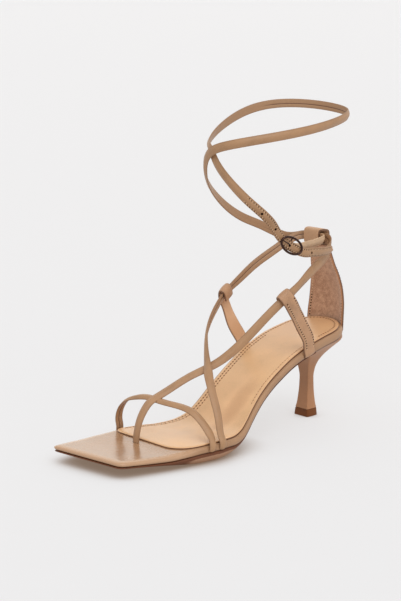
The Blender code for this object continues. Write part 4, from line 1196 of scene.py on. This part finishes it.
# Holes punched in the outer leather, the prong's own among them
prong_at = FINE_STEP * int(np.argmin(np.linalg.norm(place - buckle_point(*PRONG_HOLE), axis=1)))
punches = []
for at in (*(ankle_length - rest for rest in HOLES_FROM_END), prong_at):
    i = round(at / FINE_STEP)
    ring = HOLE_HALF * circle(HOLE_SIDES, run[i], side[i])
    ends = (place[i] - HOLE_FLOOR * face[i], place[i] + 2 * STRAP_THICK * face[i])
    punch = skin(f"hole_{len(punches)}", [end + ring for end in ends])
    # The holes' walls take the dark hole shade, painted as the shade inside them
    punch.data.materials.append(hole_shade)
    cut = ankle.modifiers.new(punch.name, "BOOLEAN")
    cut.operation = "DIFFERENCE"
    cut.material_mode = "TRANSFER"
    cut.object = punch
    punches.append(punch)
ankle.data.materials.append(hole_shade)
bpy.context.view_layer.update()
punched = bpy.data.meshes.new_from_object(ankle.evaluated_get(bpy.context.evaluated_depsgraph_get()))
ankle.modifiers.clear()
ankle.data = punched
for punch in punches:
    bpy.data.objects.remove(punch)

# Buckle strap
# A short strap of soft leather with the flesh side out, from the tunnel's outer mouth to the buckle,
# folded round the buckle's bar.
BUCKLE_STRAP_IN_TUNNEL = (-2.4, 1.6)
BUCKLE_STRAP_ROWS = (
    (-9.3, 5.2, 131.0), (-7.0, 8.0, 130.7), (-2.5, 10.6, 130.6), (5.0, 14.2, 130.8), (16.0, 19.0, 131.2),
    (30.0, 24.0, 131.8),
)
BAR_WIRE = 0.55
BAR_DEPTH = -3.45
HOOK_ALONG = (3.0, -2.0)

under_bar = BAR_DEPTH - BAR_WIRE - GAP - STRAP_THICK / 2
hook = [buckle_point(along, 0.0, under_bar) for along in HOOK_ALONG]
buckle_route = facing(in_tunnel(TUNNEL_FRONT_LAYER, BUCKLE_STRAP_IN_TUNNEL) + BUCKLE_STRAP_ROWS)
buckle_route += facing(hook, BUCKLE_FACE)
buckle_strap = strap("buckle_tab", buckle_route)
soft_leather = strap_finish(
    "soft leather", outer=(196, 163, 129), inner=(182, 142, 106), edge=(208, 174, 138), pebble=0.6,
    depth=0.06, rough=(0.56, 0.68),
)
dress(buckle_strap, soft_leather, "strap_leather", "buckle_strap")

# Buckle
# An oval of drawn wire with a bar bent under the strap and a prong on the bar, all plated in dark,
# polished bronze.
BUCKLE_LONG = 9.0
BUCKLE_HIGH = 5.2
BUCKLE_WIRE = 0.8
BUCKLE_STEPS = 72
WIRE_SIDES = 16
WIRE_STEP = 0.3
# Half thickness of the prong by the share of its length
PRONG_TAPER = ((0.0, 0.5), (0.6, 0.5), (0.95, 0.32), (1.0, 0.15))
# The prong along the strap and outward, and the bar across the strap and by the share of its depth
PRONG_ROWS = ((-0.3, -2.0), (-1.4, -0.6), (-3.8, 0.9), (-6.6, 1.5), (-9.0, 1.65), (-10.3, 1.2))
BAR_ROWS = ((5.2, -0.03), (5.1, 0.5), (4.6, 0.94), (3.0, 1.0))


def rod_rings(points, radii, axis, closed=False):
    """Rings of a round rod along points that lie in a plane across the axis."""
    points = np.array(points, float)
    run = np.gradient(points, axis=0)
    if closed:
        run = np.roll(points, -1, axis=0) - np.roll(points, 1, axis=0)
    rings = []
    for point, way, radius in zip(points, run, np.broadcast_to(radii, len(points))):
        rings.append(point + radius * circle(WIRE_SIDES, np.cross(unit(way), axis), axis))
    return rings


along_axis, cross_axis, out_axis = buckle_axes()
angles = 2 * math.pi * np.arange(BUCKLE_STEPS) / BUCKLE_STEPS
oval = [buckle_point(BUCKLE_LONG * math.cos(a), BUCKLE_HIGH * math.sin(a), 0.0) for a in angles]
buckle_frame = skin("buckle_oval", rod_rings(oval, BUCKLE_WIRE, out_axis, True), along_closed=True)
bar = [buckle_point(0.0, across, BAR_DEPTH * deep) for across, deep in BAR_ROWS]
bar += [buckle_point(0.0, -across, BAR_DEPTH * deep) for across, deep in reversed(BAR_ROWS)]
bar = even_steps(smooth_route(bar, ROUTE_STEP), WIRE_STEP)
buckle_bar = skin("buckle_bar", rod_rings(bar, BAR_WIRE, along_axis))
prong = [buckle_point(along, 0.0, outward) for along, outward in PRONG_ROWS]
prong = even_steps(smooth_route(prong, ROUTE_STEP), WIRE_STEP)
taper = np.interp(np.linspace(0.0, 1.0, len(prong)), *zip(*PRONG_TAPER))
buckle_prong = skin("prong", rod_rings(prong, taper, cross_axis))

bronze = hide_finish(
    "dark bronze", (70, 50, 44), cloud=3.0, amount=0.6, pebble=0.6, pores=0.2, rough=(0.16, 0.3),
    depth=0.01, Metallic=1.0,
)[0]
dress(buckle_frame, bronze, "bronze", "buckle_frame")
dress(buckle_bar, bronze, "bronze", "buckle_frame")
dress(buckle_prong, bronze, "bronze", "buckle_prong")

# Floor, light and camera
# A pale studio floor without an end, darkened near the shoe by a painted contact shadow, an even sky of
# soft light with a brighter panel behind the shoe, one broad lamp from the outer side, and the camera
# where the picture was taken from.
FLOOR_REACH = 120.0
FLOOR_GLOW = 0.6
FLOOR_LIGHT = (1.0, 0.97, 0.955, 1.0)
CONTACT_SHADOW_REACH = 28.0
CONTACT_SHADOW_SAMPLES = 16
CAMERA_PLACE = (0.7957, 0.7523, 0.3145)
CAMERA_HEADING = (-0.676, -0.737)
CAMERA_DOWN = math.radians(11.85)
CAMERA_LENS = 92.25
SENSOR = 36.0
SKY_STRENGTH = 0.8
SKY_LOW = (0.9, 0.9, 0.91, 1.0)
SKY_HIGH = (1.0, 1.0, 1.0, 1.0)
BACK_PANEL = (-0.65, -0.71, 0.28)
PANEL_LIGHT = (1.74, 1.66, 1.54, 1.0)
LAMP_STRENGTH = 1.2
LAMP_FROM = (0.25, 0.75, 1.0)
LAMP_ANGLE = math.radians(50.0)

floor_mesh = bpy.data.meshes.new("floor")
corners = FLOOR_REACH * circle(3, (1.0, 0.0, 0.0), (0.0, 1.0, 0.0))
floor_mesh.from_pydata(corners.tolist(), [], [(0, 1, 2)])
floor = add_object("floor", floor_mesh)
floor_paint, tree, shader = finish_of("floor paint", Specular_IOR_Level=0.1, Emission_Strength=FLOOR_GLOW)
tone = placed(
    tree, hide_tone, colour=tint(128, 131, 134), dark=tint(126, 129, 132), light=tint(130, 133, 136),
    cloud=40.0, amount=0.5,
)
# Painted contact shadow: the floor's colour and glow turn dark brown where the shoe is near, by ambient
# occlusion
near = put(tree, "ShaderNodeAmbientOcclusion", {"Distance": CONTACT_SHADOW_REACH * MM}, samples=CONTACT_SHADOW_SAMPLES)
clear = spread(tree, near.outputs["AO"], 0.1, 0.92)
join(tree, shader, {
    "Base Color": blend(tree, clear, tint(98, 84, 74), tone["Colour"]),
    "Emission Color": blend(tree, clear, tint(160, 138, 120), FLOOR_LIGHT),
    "Roughness": spread(tree, tone["Cloud"], *CLOUD_SPAN, 0.85, 0.95),
})
floor_mesh.materials.append(floor_paint)

world = bpy.data.worlds.new("studio")
world.use_nodes = True
tree = world.node_tree
sky = tree.nodes["Background"]
aim = put(tree, "ShaderNodeTexCoord").outputs["Generated"]
high = put(tree, "ShaderNodeSeparateXYZ", {0: aim}).outputs["Z"]
sky_colour = blend(tree, spread(tree, high, -0.1, 0.9), SKY_LOW, SKY_HIGH)
behind = put(tree, "ShaderNodeVectorMath", {0: aim, 1: BACK_PANEL}, operation="DOT_PRODUCT")
panel = spread(tree, behind.outputs["Value"], 0.7, 0.97)
join(tree, sky, {"Color": blend(tree, panel, sky_colour, PANEL_LIGHT), "Strength": SKY_STRENGTH})
bpy.context.scene.world = world

lamp = bpy.data.lights.new("broad lamp", "SUN")
lamp.energy = LAMP_STRENGTH
lamp.angle = LAMP_ANGLE
lamp_object = add_object("broad lamp", lamp)
lamp_object.rotation_mode = "QUATERNION"
lamp_object.rotation_quaternion = Vector(LAMP_FROM).to_track_quat("Z", "Y")

camera = bpy.data.cameras.new("camera")
camera.lens = CAMERA_LENS
camera.sensor_width = SENSOR
camera_object = add_object("camera", camera)
camera_object.location = CAMERA_PLACE
level = math.cos(CAMERA_DOWN)
look = Vector((CAMERA_HEADING[0] * level, CAMERA_HEADING[1] * level, -math.sin(CAMERA_DOWN)))
camera_object.rotation_mode = "QUATERNION"
camera_object.rotation_quaternion = look.to_track_quat("-Z", "Y")
bpy.context.scene.camera = camera_object
bpy.context.scene.view_settings.view_transform = "Standard"
